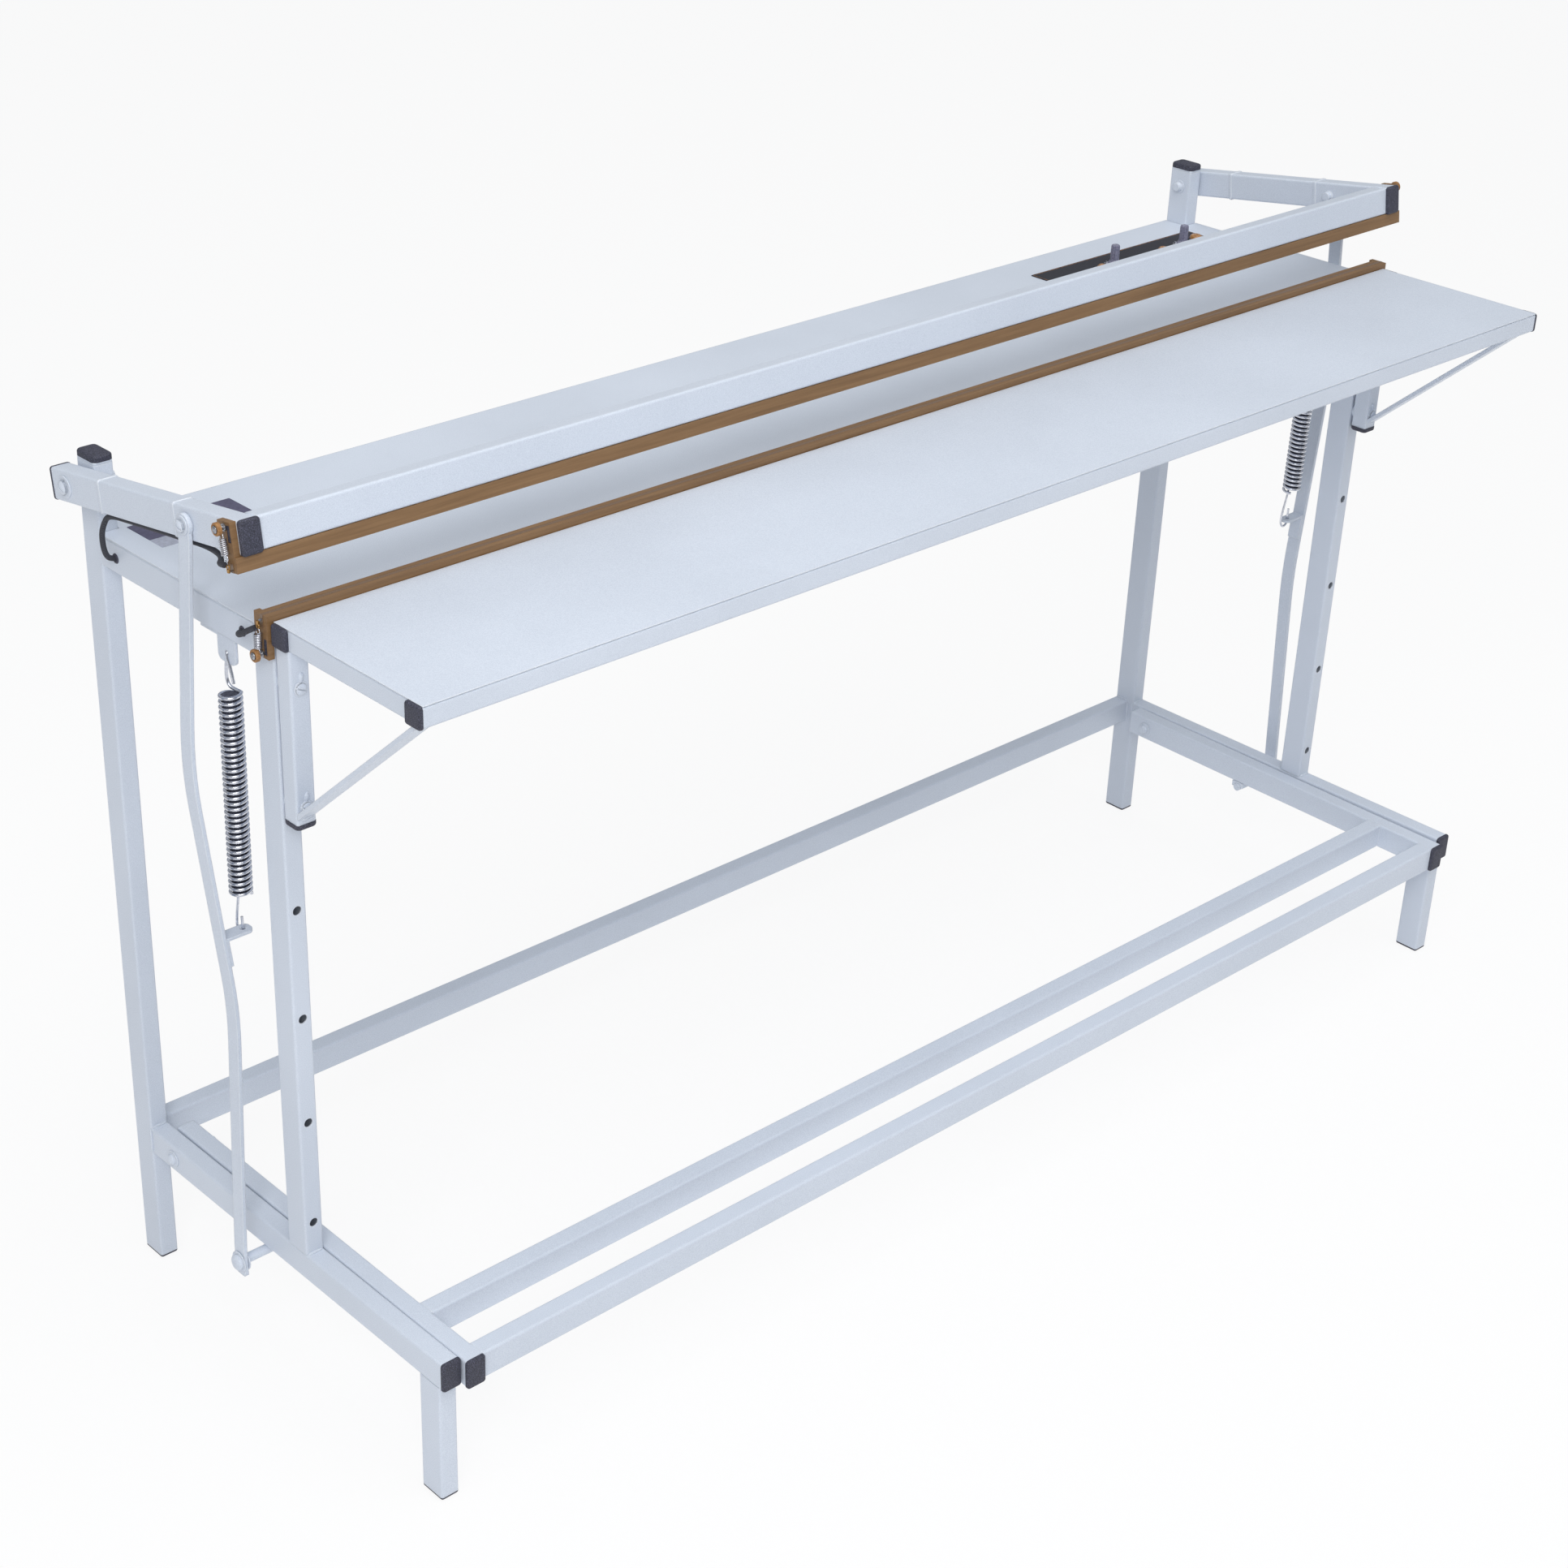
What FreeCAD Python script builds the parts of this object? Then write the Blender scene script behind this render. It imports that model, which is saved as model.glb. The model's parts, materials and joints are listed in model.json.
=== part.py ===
import FreeCAD, Part
import math
import os

V = FreeCAD.Vector

# Foot pedal sealer, drawn in millimetres. X runs along the jaws, Y to the back, Z up.
# It is drawn from the left posts' outer face (x = 0), the back posts' front face (y = 0) and the
# floor (z = 0), and moved at the end so that the origin is at the middle of the base.

# Frame tube: 20 x 30 mm
width = 1540.0              # outer faces of the end frames
tube_a = 20.0               # short side of the frame tube
tube_b = 30.0               # long side of the frame tube
tube_wall = 1.5
tube_round = 2.5            # outer corner radius
post_top = 875.3            # top of the back posts
foot_height = 3.0           # plastic foot below each leg
cap_thick = 4.0             # plastic end caps
cap_over = 0.6              # a cap stands out this much round its tube
post_cap_high = 9.0
plug_depth = 12.0           # how far a cap's plug reaches into its tube
plug_gap = 0.15             # plug to tube wall
rail_low = 133.0            # underside of the lower side rails
rail_front = 480.4          # front end of the lower side rails, in front of y = 0
front_leg_y = 461.6         # front leg centre, in front of y = 0
front_post_y = 257.0        # front post centre, in front of y = 0
table_top = 811.5
table_sheet_thick = 1.5
post_notch_gap = 0.4        # table sheet to back post

# Adjustment holes in the front posts
hole_r = 4.5
hole_first = 197.5
hole_pitch = 113.5
hole_count = 6

# Shelf, its brackets and braces
shelf_tube = 20.0
shelf_sheet_thick = 1.0
shelf_top = 822.5
shelf_back = 275.0          # rear face of the shelf, in front of y = 0
shelf_front = 480.0         # front face of the shelf
bracket_bottom = 636.0
bracket_plug_depth = 8.0
bracket_bolt_r = 4.0
brace_wide = 18.0
brace_thick = 4.5
brace_foot_up = 6.0         # brace's lower end above the bracket's end
brace_head_back = 6.0       # brace's upper end behind the shelf's front face
brace_notch_gap = 0.4       # round the lower bolt's head

# Jaws
pivot_y = 15.0              # arm pivot
pivot_z = 857.0
jaw_open_deg = 8.6          # arms raised at rest
arm_front = 268.0           # front end of the arm tubes when closed
arm_rear = 36.0             # rear end of the arm tubes
arm_gap = 2.0               # arm to post
arm_rear_cap = 3.0
band_positions = (45.0, 168.0)
band_wide = 3.0
band_high = 0.7
jaw_strip_deep = 14.0
jaw_closed_gap = 0.35       # between the two strips when closed
lower_strip_top = 828.0
lower_strip_front = 274.0
lower_strip_deep = 15.0
end_block_thick = 6.0
end_block_deep = 19.0
lower_block_down = 40.0
upper_block_front = 266.0   # front face of the upper end blocks when closed
slot_wide = 5.0
slot_deep = 4.0
slot_long = 15.0
heater_wide = 4.0
heater_thick = 0.4
heater_groove_gap = 0.2

# Tension springs of the heating bands
tension_od = 7.5
tension_pitch = 2.2
tension_turns = 7
tension_wire = 1.0
anchor_r = 2.0
anchor_head_r = 4.6
anchor_head_high = 2.0
anchor_stand = 4.2          # spring's line to the block's outer face
clip_half = 1.3             # half the height of the clip on a band's end
clip_drop = 10.5            # lower clip below the strip's face
lower_screw_back = 2.0      # anchor screw behind the strip's middle
lower_screw_drop = 36.5     # anchor screw below the strip's face
upper_clip_rise = 7.0       # upper clip above the strip's face
upper_screw_back = 4.0
upper_screw_low = 5.0       # anchor screw below the arm's top

# Bolts
pin_r = 5.0
running_fit = 0.05
washer_r = 10.5
washer_thick = 1.2
head_r = 7.0
head_high = 4.5
nut_r = 8.5
nut_high = 7.0
small_head_r = 5.5
small_head_high = 2.5
spacer_r = 8.0
round_sides = 12            # small turned pieces have this many sides

# Pedal
pedal_pivot_y = -40.0
pedal_pivot_z = 148.0
pedal_tilt_deg = 0.4        # pedal frame slopes down a little to the front at rest
pedal_gap = 2.0             # side bar to rail
pedal_rear = 15.0           # rear end of the side bars, in front of y = 0
pedal_front = 488.0         # front end of the side bars
pedal_rear_bar = 403.0      # centre of the rear cross bar
pedal_pin_y = -196.0        # link's lower pin
pedal_pin_z = 125.0
saddle_wide = 16.0
saddle_gap = 0.05

# Links
link_pin_reach = 203.4      # arm pivot to the link's upper pin
link_wide = 16.0
link_eye_r = 10.0
link_thick = 4.0
link_bow_radius = 450.0
link_hole_play = 0.9        # open lower pivot: extra hole radius for the lower pin
link_outer = ((-27.0, -16.0), (-42.5, -225.0), (-14.5, -483.0), (-26.5, -746.0))
link_end_below = 15.0
link_tab_drop = 402.0       # spring tab below the upper pin
link_tab_reach = 11.5       # spring tab's tip, inside x = 0
link_tab_thick = 3.0
link_tab_leg = 30.0
tab_hole_x = 3.5

# Return springs
spring_od = 22.5
spring_wire = 3.4
spring_pitch = 5.5
spring_turns = 37
spring_top_y = -196.0       # hook hole in the frame's tab
spring_top_z = 764.0
spring_hole_r = 2.6
spring_tab_thick = 3.0
spring_tab_wide = 27.0
spring_tab_bottom = 755.0
spring_flange_rear = 155.0

# Leads
lead_r = 3.25
lead_sides = 6
lead_hole_gap = 0.3
lead_below_arm = 1.1        # lead's top to the arm's underside
lead_end_gap = 0.4          # lead's end to the band's clip

# Control panel and box, at the right end of the table
panel_right = width - 37.0
panel_long = 280.0
panel_front = 78.0
panel_rear = 17.0
panel_thick = 1.0
panel_lap = 10.0            # panel's rim on the table
knob_x = (panel_right - 171.0, panel_right - 46.0)
knob_y = -48.0
knob_r = 5.2
knob_high = 24.0
flute_count = 10
flute_deep = 0.6
crown_high = 1.0            # bevelled top of a knob
collar_r = 7.4
collar_high = 3.0
shaft_r = 3.0
knob_fit = 0.06
knob_lift = 0.4
lamp_x = (panel_right - 191.5, panel_right - 82.0)
lamp_r = 6.0
lamp_high = 4.0
switch_x = panel_right - 22.0
switch_r = 10.0
switch_ring_high = 3.0
button_r = 7.6
button_high = 4.5
button_fit = 0.15
button_travel = 2.0
stem_deep = 3.5             # button's stem below the ring's top
box_right = width - 24.0
box_long = 300.0
box_front = 170.0
box_rear = 6.0
box_deep = 84.0
box_sheet = 1.2
box_flange = 10.0
transformer_long = 96.0
transformer_deep = 66.0
transformer_high = 62.0
transformer_in = 78.0       # transformer's middle from the box's end
transformer_foot = 26.0     # half the foot's depth
transformer_front = 22.0    # transformer in front of the box's middle
core_half = 16.0
foot_thick = 3.0
board_drop = 15.5           # timer board below the table's top
board_half = 14.0
board_thick = 1.6
pot_r = 8.0
gland_in = 45.0             # gland from the box's left end
gland_up = 28.0             # gland above the box's floor
gland_r = 8.0               # gland's neck
gland_bore = 3.6
gland_nut_r = 10.5

# Values that follow from the sizes above
rail_high = rail_low + tube_b
panel_left = panel_right - panel_long
box_left = box_right - box_long
side_tube_low = table_top - table_sheet_thick - tube_b
frame_top = table_top - table_sheet_thick
arm_x0 = -arm_gap - tube_a
arm_low = pivot_z - tube_b / 2.0
arm_high = pivot_z + tube_b / 2.0
strip_low = lower_strip_top + jaw_closed_gap
pedal_low = pedal_pivot_z - tube_b / 2.0
pedal_x0 = tube_a + pedal_gap
shelf_low = shelf_top - shelf_sheet_thick - shelf_tube
front_post_front = front_post_y + tube_b / 2.0
bracket_gap = shelf_back - front_post_front
spring_r = (spring_od - spring_wire) / 2.0


def turned(y, z, deg, cy, cz):
    "A point of the YZ plane turned about (cy, cz), positive as the right hand about +X."
    a = math.radians(deg)
    dy = y - cy
    dz = z - cz
    return (cy + dy * math.cos(a) - dz * math.sin(a), cz + dy * math.sin(a) + dz * math.cos(a))


def turn_shape(shape, deg, cy, cz):
    "Turn a shape about an X axis through (cy, cz)."
    result = shape.copy()
    result.rotate(V(0, cy, cz), V(1, 0, 0), deg)
    return result


def opened(shape):
    "From the closed jaw, where the jaw is drawn, to the open rest position."
    return turn_shape(shape, -jaw_open_deg, pivot_y, pivot_z)


def mirrored(shape):
    "The same piece at the other end of the machine."
    return shape.mirror(V(width / 2.0, 0, 0), V(1, 0, 0))


def box(x0, x1, y0, y1, z0, z1):
    return Part.makeBox(x1 - x0, y1 - y0, z1 - z0, V(x0, y0, z0))


def edges_along(shape, axis):
    "Straight edges that run along one axis."
    found = []
    for edge in shape.Edges:
        if len(edge.Vertexes) != 2:
            continue
        run = edge.Vertexes[1].Point - edge.Vertexes[0].Point
        if abs(run[axis]) > 0.999 * run.Length:
            found.append(edge)
    return found


def bar(x0, x1, y0, y1, z0, z1, axis, radius):
    "A box with its four long edges rounded."
    solid = box(x0, x1, y0, y1, z0, z1)
    return solid.makeFillet(radius, edges_along(solid, axis))


def tube(x0, x1, y0, y1, z0, z1, axis):
    "A rectangular tube along one axis, open at both ends."
    low = [x0, y0, z0]
    high = [x1, y1, z1]
    inner_low = [v + tube_wall for v in low]
    inner_high = [v - tube_wall for v in high]
    inner_low[axis] = low[axis] - 1.0
    inner_high[axis] = high[axis] + 1.0
    outer = bar(x0, x1, y0, y1, z0, z1, axis, tube_round)
    inner = box(inner_low[0], inner_high[0], inner_low[1], inner_high[1], inner_low[2], inner_high[2])
    return outer.cut(inner)


def joined(shapes):
    "Welded pieces as one solid."
    result = shapes[0].fuse(shapes[1:])
    return result.removeSplitter()


def cylinder(radius, length, at, direction):
    return Part.makeCylinder(radius, length, at, direction)


def end_cap(x0, x1, y0, y1, z0, z1, axis, side, thick, depth=plug_depth, over=cap_over):
    "A cap plate outside the end of a tube whose section is given, with a plug inside it."
    low = [x0, y0, z0]
    high = [x1, y1, z1]
    end = high[axis] if side > 0 else low[axis]
    plate_low = [v - over for v in low]
    plate_high = [v + over for v in high]
    plug_low = [v + tube_wall + plug_gap for v in low]
    plug_high = [v - tube_wall - plug_gap for v in high]
    if side > 0:
        plate_low[axis] = end
        plate_high[axis] = end + thick
        plug_low[axis] = end - depth
        plug_high[axis] = end + thick / 2.0
    else:
        plate_low[axis] = end - thick
        plate_high[axis] = end
        plug_low[axis] = end - thick / 2.0
        plug_high[axis] = end + depth
    plate = box(plate_low[0], plate_high[0], plate_low[1], plate_high[1], plate_low[2], plate_high[2])
    plate = plate.makeChamfer(tube_round * 0.7, edges_along(plate, axis))
    rim = []
    outer_end = plate_high[axis] if side > 0 else plate_low[axis]
    for edge in plate.Edges:
        if all(abs(v.Point[axis] - outer_end) < 0.001 for v in edge.Vertexes):
            rim.append(edge)
    plate = plate.makeChamfer(min(thick * 0.35, tube_round * 0.6), rim)
    plug = box(plug_low[0], plug_high[0], plug_low[1], plug_high[1], plug_low[2], plug_high[2])
    return plate.fuse(plug).removeSplitter()


def ring_of(radius, z, sides):
    "A regular outline with its corners on the given radius."
    corners = []
    for k in range(sides + 1):
        a = 2.0 * math.pi * k / sides
        corners.append(V(radius * math.cos(a), radius * math.sin(a), z))
    return Part.makePolygon(corners)


def turned_piece(steps, at, direction, sides=round_sides):
    "A small turned piece of few sides, through (radius, height) steps."
    solid = Part.makeLoft([ring_of(r, z, sides) for r, z in steps], True, True)
    solid.Placement = FreeCAD.Placement(at, FreeCAD.Rotation(V(0, 0, 1), direction))
    return solid


def rod(radius, length, at, direction, sides=round_sides):
    "A pin, washer or shank of few sides."
    return turned_piece([(radius, 0.0), (radius, length)], at, direction, sides)


def domed_head(radius, height, at, direction):
    "A pan head with a domed top, its flat face at the given point."
    steps = [(radius, 0.0), (radius, height * 0.4), (radius * 0.8, height * 0.8), (radius * 0.4, height)]
    return turned_piece(steps, at, direction)


def hexagon_nut(radius, height, at, direction):
    return rod(radius, height, at, direction, 6)


def through_bolt(x_face, x_nut, y, z):
    "A bolt along +X: washer and head outside x_face, nut and washer beyond x_nut."
    start = x_face - washer_thick
    pieces = [
        rod(washer_r, washer_thick, V(start, y, z), V(1, 0, 0)),
        domed_head(head_r, head_high, V(start, y, z), V(-1, 0, 0)),
        rod(pin_r, x_nut + nut_high + 2.0 - start, V(start, y, z), V(1, 0, 0)),
        hexagon_nut(nut_r, nut_high, V(x_nut, y, z), V(1, 0, 0))]
    return joined(pieces)


def wire_route(points, radius, name, sides=lead_sides, quiet=False):
    "A lead or wire of few sides along straight runs joined by tangent arcs."
    runs = []
    for k in range(len(points) - 1):
        runs.append((points[k + 1] - points[k]).Length)
    edges = []
    start = points[0]
    radii = []
    for k in range(1, len(points) - 1):
        before = (points[k] - points[k - 1]).normalize()
        after = (points[k + 1] - points[k]).normalize()
        turn = math.acos(max(-1.0, min(1.0, before.dot(after))))
        set_back = 0.45 * min(runs[k - 1], runs[k])
        arc_r = set_back / math.tan(turn / 2.0)
        radii.append(arc_r)
        into = points[k] - before * set_back
        out = points[k] + after * set_back
        inward = (after - before).normalize()
        centre = points[k] + inward * (arc_r / math.cos(turn / 2.0))
        middle = centre - inward * arc_r
        edges.append(Part.LineSegment(start, into).toShape())
        edges.append(Part.Arc(into, middle, out).toShape())
        start = out
    edges.append(Part.LineSegment(start, points[-1]).toShape())
    path = Part.Wire(edges)
    ring = ring_of(radius, 0.0, sides)
    ring.Placement = FreeCAD.Placement(points[0], FreeCAD.Rotation(V(0, 0, 1), points[1] - points[0]))
    solid = path.makePipeShell([ring], True, False)
    if not quiet:
        print(name, "radii", [round(r, 1) for r in radii])
    return solid


def coil(radius, wire, pitch, turns, at, direction, sides, steps):
    "A helical wire of few sides and that many straight steps in a turn, lofted through its sections."
    sections = []
    for step in range(steps * turns + 1):
        turn = 2.0 * math.pi * step / steps
        rise = pitch * step / steps
        corners = []
        for k in range(sides + 1):
            a = 2.0 * math.pi * k / sides
            out = radius + wire / 2.0 * math.cos(a)
            corners.append(V(out * math.cos(turn), out * math.sin(turn), rise + wire / 2.0 * math.sin(a)))
        sections.append(Part.makePolygon(corners))
    solid = Part.makeLoft(sections, True, True)
    solid.Placement = FreeCAD.Placement(at, FreeCAD.Rotation(V(0, 0, 1), direction))
    return solid


# Frame

def end_frame(lead_starts):
    "Left end: back post, lower rail, front leg, front post and upper side tube, welded."
    a = tube_a
    b = tube_b
    leg0 = -front_leg_y - b / 2.0
    post0 = -front_post_front
    parts = [
        tube(0, a, 0, b, foot_height, post_top, 2),
        tube(0, a, -rail_front, 0, rail_low, rail_high, 1),
        tube(0, a, leg0, leg0 + b, foot_height, rail_low, 2),
        tube(0, a, post0, post0 + b, rail_high, frame_top, 2),
        tube(0, a, post0 + b, 0, side_tube_low, frame_top, 1)]
    frame = joined(parts)
    cutters = []
    for k in range(hole_count):
        cutters.append(cylinder(hole_r, b + 4, V(a / 2.0, post0 - 2, hole_first + k * hole_pitch), V(0, 1, 0)))
    cutters.append(cylinder(pin_r + running_fit, a + 4, V(-2, pivot_y, pivot_z), V(1, 0, 0)))
    cutters.append(cylinder(pin_r + running_fit, a + 4, V(-2, pedal_pivot_y, pedal_pivot_z), V(1, 0, 0)))
    for y, z in lead_starts:
        cutters.append(cylinder(lead_r + lead_hole_gap, tube_wall + 4, V(-3, y, z), V(1, 0, 0)))
    frame = frame.cut(Part.makeCompound(cutters))
    return joined([frame, spring_tab()])


def spring_tab():
    "Bracket under the side tube: a flange welded to the tube and a tongue with the hook's hole."
    x0 = tab_hole_x - spring_tab_thick / 2.0
    y0 = spring_top_y - spring_tab_wide / 2.0
    y1 = spring_top_y + spring_tab_wide / 2.0
    flange = box(x0, tube_a - 2.0, y0, -spring_flange_rear, side_tube_low - spring_tab_thick, side_tube_low)
    tongue = box(x0, x0 + spring_tab_thick, y0, y1, spring_tab_bottom, side_tube_low)
    low = []
    for edge in edges_along(tongue, 0):
        if edge.CenterOfMass.z < spring_tab_bottom + 0.1:
            low.append(edge)
    tongue = tongue.makeFillet(6.0, low)
    corner = edges_along(flange, 2)
    flange = flange.makeFillet(3.0, [e for e in corner if e.CenterOfMass.y > -spring_flange_rear - 0.1])
    tab = flange.fuse(tongue).removeSplitter()
    hole = cylinder(spring_hole_r, spring_tab_thick + 4, V(x0 - 2, spring_top_y, spring_top_z), V(1, 0, 0))
    return tab.cut(hole)


def post_cap():
    "Black domed cap on a back post."
    return end_cap(0, tube_a, 0, tube_b, foot_height, post_top, 2, 1, post_cap_high)


def feet():
    "Black foot plugs under the two legs of one end."
    leg0 = -front_leg_y - tube_b / 2.0
    rear = end_cap(0, tube_a, 0, tube_b, foot_height, post_top, 2, -1, foot_height, over=0.0)
    front = end_cap(0, tube_a, leg0, leg0 + tube_b, foot_height, rail_low, 2, -1, foot_height, over=0.0)
    return [rear, front]


def rail_cap():
    return end_cap(0, tube_a, -rail_front, 0, rail_low, rail_high, 1, -1, cap_thick)


def table_sheet():
    "Table top: a sheet with its rear corners cut out for the posts, and an opening under the panel."
    low = table_top - table_sheet_thick
    sheet = box(0, width, -front_post_front, tube_b, low, table_top)
    g = post_notch_gap
    cutters = [
        box(-1, tube_a + g, -g, tube_b + 1, low - 1, table_top + 1),
        box(width - tube_a - g, width + 1, -g, tube_b + 1, low - 1, table_top + 1)]
    under_panel = box(panel_left + panel_lap, panel_right - panel_lap, -panel_front + panel_lap,
                      -panel_rear - panel_lap, low - 1, table_top + 1)
    return sheet.cut(Part.makeCompound(cutters + [under_panel]))


def panel_holes(z0, z1):
    "Holes for the timer shafts, the lamps and the switch."
    holes = []
    for x in knob_x:
        holes.append(cylinder(shaft_r + 1.0, z1 - z0, V(x, knob_y, z0), V(0, 0, 1)))
    for x in lamp_x:
        holes.append(cylinder(lamp_r - 0.8, z1 - z0, V(x, knob_y, z0), V(0, 0, 1)))
    holes.append(cylinder(switch_r - 1.2, z1 - z0, V(switch_x, knob_y, z0), V(0, 0, 1)))
    return holes


def cross_tube(y0, y1, z0, z1):
    return tube(tube_a, width - tube_a, y0, y1, z0, z1, 0)


# Shelf

def shelf_frame():
    "Front and rear tubes over the full length, with side tubes between them."
    s = shelf_tube
    z0 = shelf_low
    z1 = shelf_low + s
    yf = -shelf_front
    yr = -shelf_back
    front = tube(0, width, yf, yf + s, z0, z1, 0)
    rear = tube(0, width, yr - s, yr, z0, z1, 0)
    left = tube(0, s, yf + s, yr - s, z0, z1, 1)
    right = mirrored(left)
    return joined([front, rear, left, right])


def shelf_sheet():
    return box(0, width, -shelf_front, -shelf_back, shelf_top - shelf_sheet_thick, shelf_top)


def shelf_caps():
    "Four black end caps on the shelf's long tubes."
    s = shelf_tube
    caps = []
    for y0 in (-shelf_front, -shelf_back - s):
        cap = end_cap(0, width, y0, y0 + s, shelf_low, shelf_low + s, 0, -1, cap_thick)
        caps.append(cap)
        caps.append(mirrored(cap))
    return caps


def shelf_bracket():
    "Upright tube under the shelf's rear tube, with the angle brace welded to it."
    s = shelf_tube
    yr = -shelf_back
    upright = tube(0, s, yr - s, yr, bracket_bottom, shelf_low, 2)
    holes = []
    for k in (hole_count - 2, hole_count - 1):
        z = hole_first + k * hole_pitch
        holes.append(cylinder(bracket_bolt_r + running_fit, s + 4, V(s / 2.0, yr - s - 2, z), V(0, 1, 0)))
    upright = upright.cut(Part.makeCompound(holes))
    return joined([upright, brace()])


def brace():
    "Flat bar from the bracket's lower end to the shelf's front corner, cut to fit both."
    s = shelf_tube
    foot_y = -shelf_back - s
    foot_z = bracket_bottom + brace_foot_up
    head_y = -shelf_front + brace_head_back
    run = V(0, head_y - foot_y, shelf_low - foot_z)
    along = V(run).normalize()
    across = V(0, along.z, -along.y)
    over = brace_thick * 3.0
    low = V(0, foot_y, foot_z) - along * over
    corners = [low, low + V(brace_wide, 0, 0), low + V(brace_wide, 0, 0) + across * brace_thick,
               low + across * brace_thick, low]
    flat = Part.Face(Part.makePolygon(corners)).extrude(along * (run.Length + 2 * over))
    keep = box(-1, s + 1, -shelf_front, foot_y, bracket_bottom, shelf_low)
    head = V(s / 2.0, foot_y, hole_first + (hole_count - 2) * hole_pitch)
    notch = cylinder(small_head_r + brace_notch_gap, small_head_high + brace_notch_gap, head, V(0, -1, 0))
    return flat.common(keep).cut(notch)


def bracket_cap():
    s = shelf_tube
    return end_cap(0, s, -shelf_back - s, -shelf_back, bracket_bottom, shelf_low, 2, -1, cap_thick,
                   bracket_plug_depth)


def bracket_bolts():
    "Two slotted bolts through bracket, spacer and front post, with nuts behind the post."
    s = shelf_tube
    x = s / 2.0
    head_y = -shelf_back - s
    nut_y = -front_post_front + tube_b
    bolts = []
    for k in (hole_count - 2, hole_count - 1):
        z = hole_first + k * hole_pitch
        pieces = [
            domed_head(small_head_r, small_head_high, V(x, head_y, z), V(0, -1, 0)),
            rod(bracket_bolt_r, nut_y - head_y + nut_high, V(x, head_y, z), V(0, 1, 0)),
            rod(spacer_r, bracket_gap, V(x, -shelf_back, z), V(0, 1, 0)),
            hexagon_nut(nut_r - 1.5, nut_high - 1.0, V(x, nut_y, z), V(0, 1, 0))]
        bolt = joined(pieces)
        slot = box(x - 0.6, x + 0.6, head_y - small_head_high - 1, head_y - small_head_high + 1.2,
                   z - small_head_r, z + small_head_r)
        bolts.append(bolt.cut(slot))
    return bolts


# Lower jaw

lower_y0 = -lower_strip_front
lower_y1 = -lower_strip_front + lower_strip_deep
lower_mid = (lower_y0 + lower_y1) / 2.0


def groove(x0, x1, y_mid, z0, z1):
    half = heater_wide / 2.0 + heater_groove_gap
    return box(x0, x1, y_mid - half, y_mid + half, z0, z1)


def lower_strip():
    strip = box(0, width, lower_y0, lower_y1, table_top, lower_strip_top)
    return strip.cut(groove(-1, width + 1, lower_mid, lower_strip_top - heater_thick, lower_strip_top + 1))


def lower_block():
    "End block on the front post's outer face, slotted on its outer side."
    t = end_block_thick
    low = lower_strip_top - lower_block_down
    block = box(-t, 0, lower_y0, lower_y0 + end_block_deep, low, lower_strip_top)
    slot = box(-t - 1, -t + slot_deep, lower_y0 + 2.0, lower_y0 + 2.0 + slot_wide, low + 3.0, low + 3.0 + slot_long)
    top = groove(-t - 1, 1, lower_mid, lower_strip_top - heater_thick, lower_strip_top + 1)
    return block.cut(Part.makeCompound([slot, top]))


def heater_band(x_out, y_mid, face_z, inside_z, end_z):
    "Flat heating band along a strip's face and round the outer side of both end blocks."
    half = heater_wide / 2.0
    t = heater_thick
    z0 = min(face_z, inside_z)
    z1 = max(face_z, inside_z)
    run = box(x_out - t, width - x_out + t, y_mid - half, y_mid + half, z0, z1)
    leg = box(x_out - t, x_out, y_mid - half, y_mid + half, min(face_z, end_z), max(face_z, end_z))
    return joined([run, leg, mirrored(leg)])


def tension_set(x_face, y_hook, z_hook, y_screw, z_screw):
    "Clip on the band's end, tension spring and anchor screw, on the outer side of an end block."
    stand = anchor_stand
    x_mid = x_face - stand
    hook = V(x_mid, y_hook, z_hook)
    screw = V(x_mid, y_screw, z_screw)
    axis = (screw - hook).normalize()
    length = tension_pitch * tension_turns
    gap = ((screw - hook).Length - length) / 2.0
    body_r = (tension_od - tension_wire) / 2.0
    start = hook + axis * gap
    winding = coil(body_r, tension_wire, tension_pitch, tension_turns, start, axis, 3, 7)
    hooks = [
        rod(tension_wire / 2.0, gap + 0.5 - clip_half, hook + axis * clip_half, axis, 5),
        rod(tension_wire / 2.0, gap + 0.5 - anchor_r, screw - axis * anchor_r, axis * -1.0, 5)]
    discs = [rod(body_r, tension_wire, start, axis, 8),
             rod(body_r, tension_wire, start + axis * (length - tension_wire), axis, 8)]
    clip = box(x_mid - 1.0, x_face - heater_thick, y_hook - 3.0, y_hook + 3.0, z_hook - clip_half, z_hook + clip_half)
    head_x = x_face - stand - 1.5
    post = rod(anchor_r, x_face - head_x, V(x_face, y_screw, z_screw), V(-1, 0, 0))
    head = domed_head(anchor_head_r, anchor_head_high, V(head_x, y_screw, z_screw), V(-1, 0, 0))
    collar = rod(anchor_head_r * 0.8, stand - tension_wire, V(x_face, y_screw, z_screw), V(-1, 0, 0))
    spring = joined([winding] + hooks + discs)
    return [spring, clip, joined([post, head, collar])]


# Upper jaw, drawn closed

upper_y0 = -arm_front
upper_y1 = -arm_front + jaw_strip_deep
upper_mid = (upper_y0 + upper_y1) / 2.0


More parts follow.
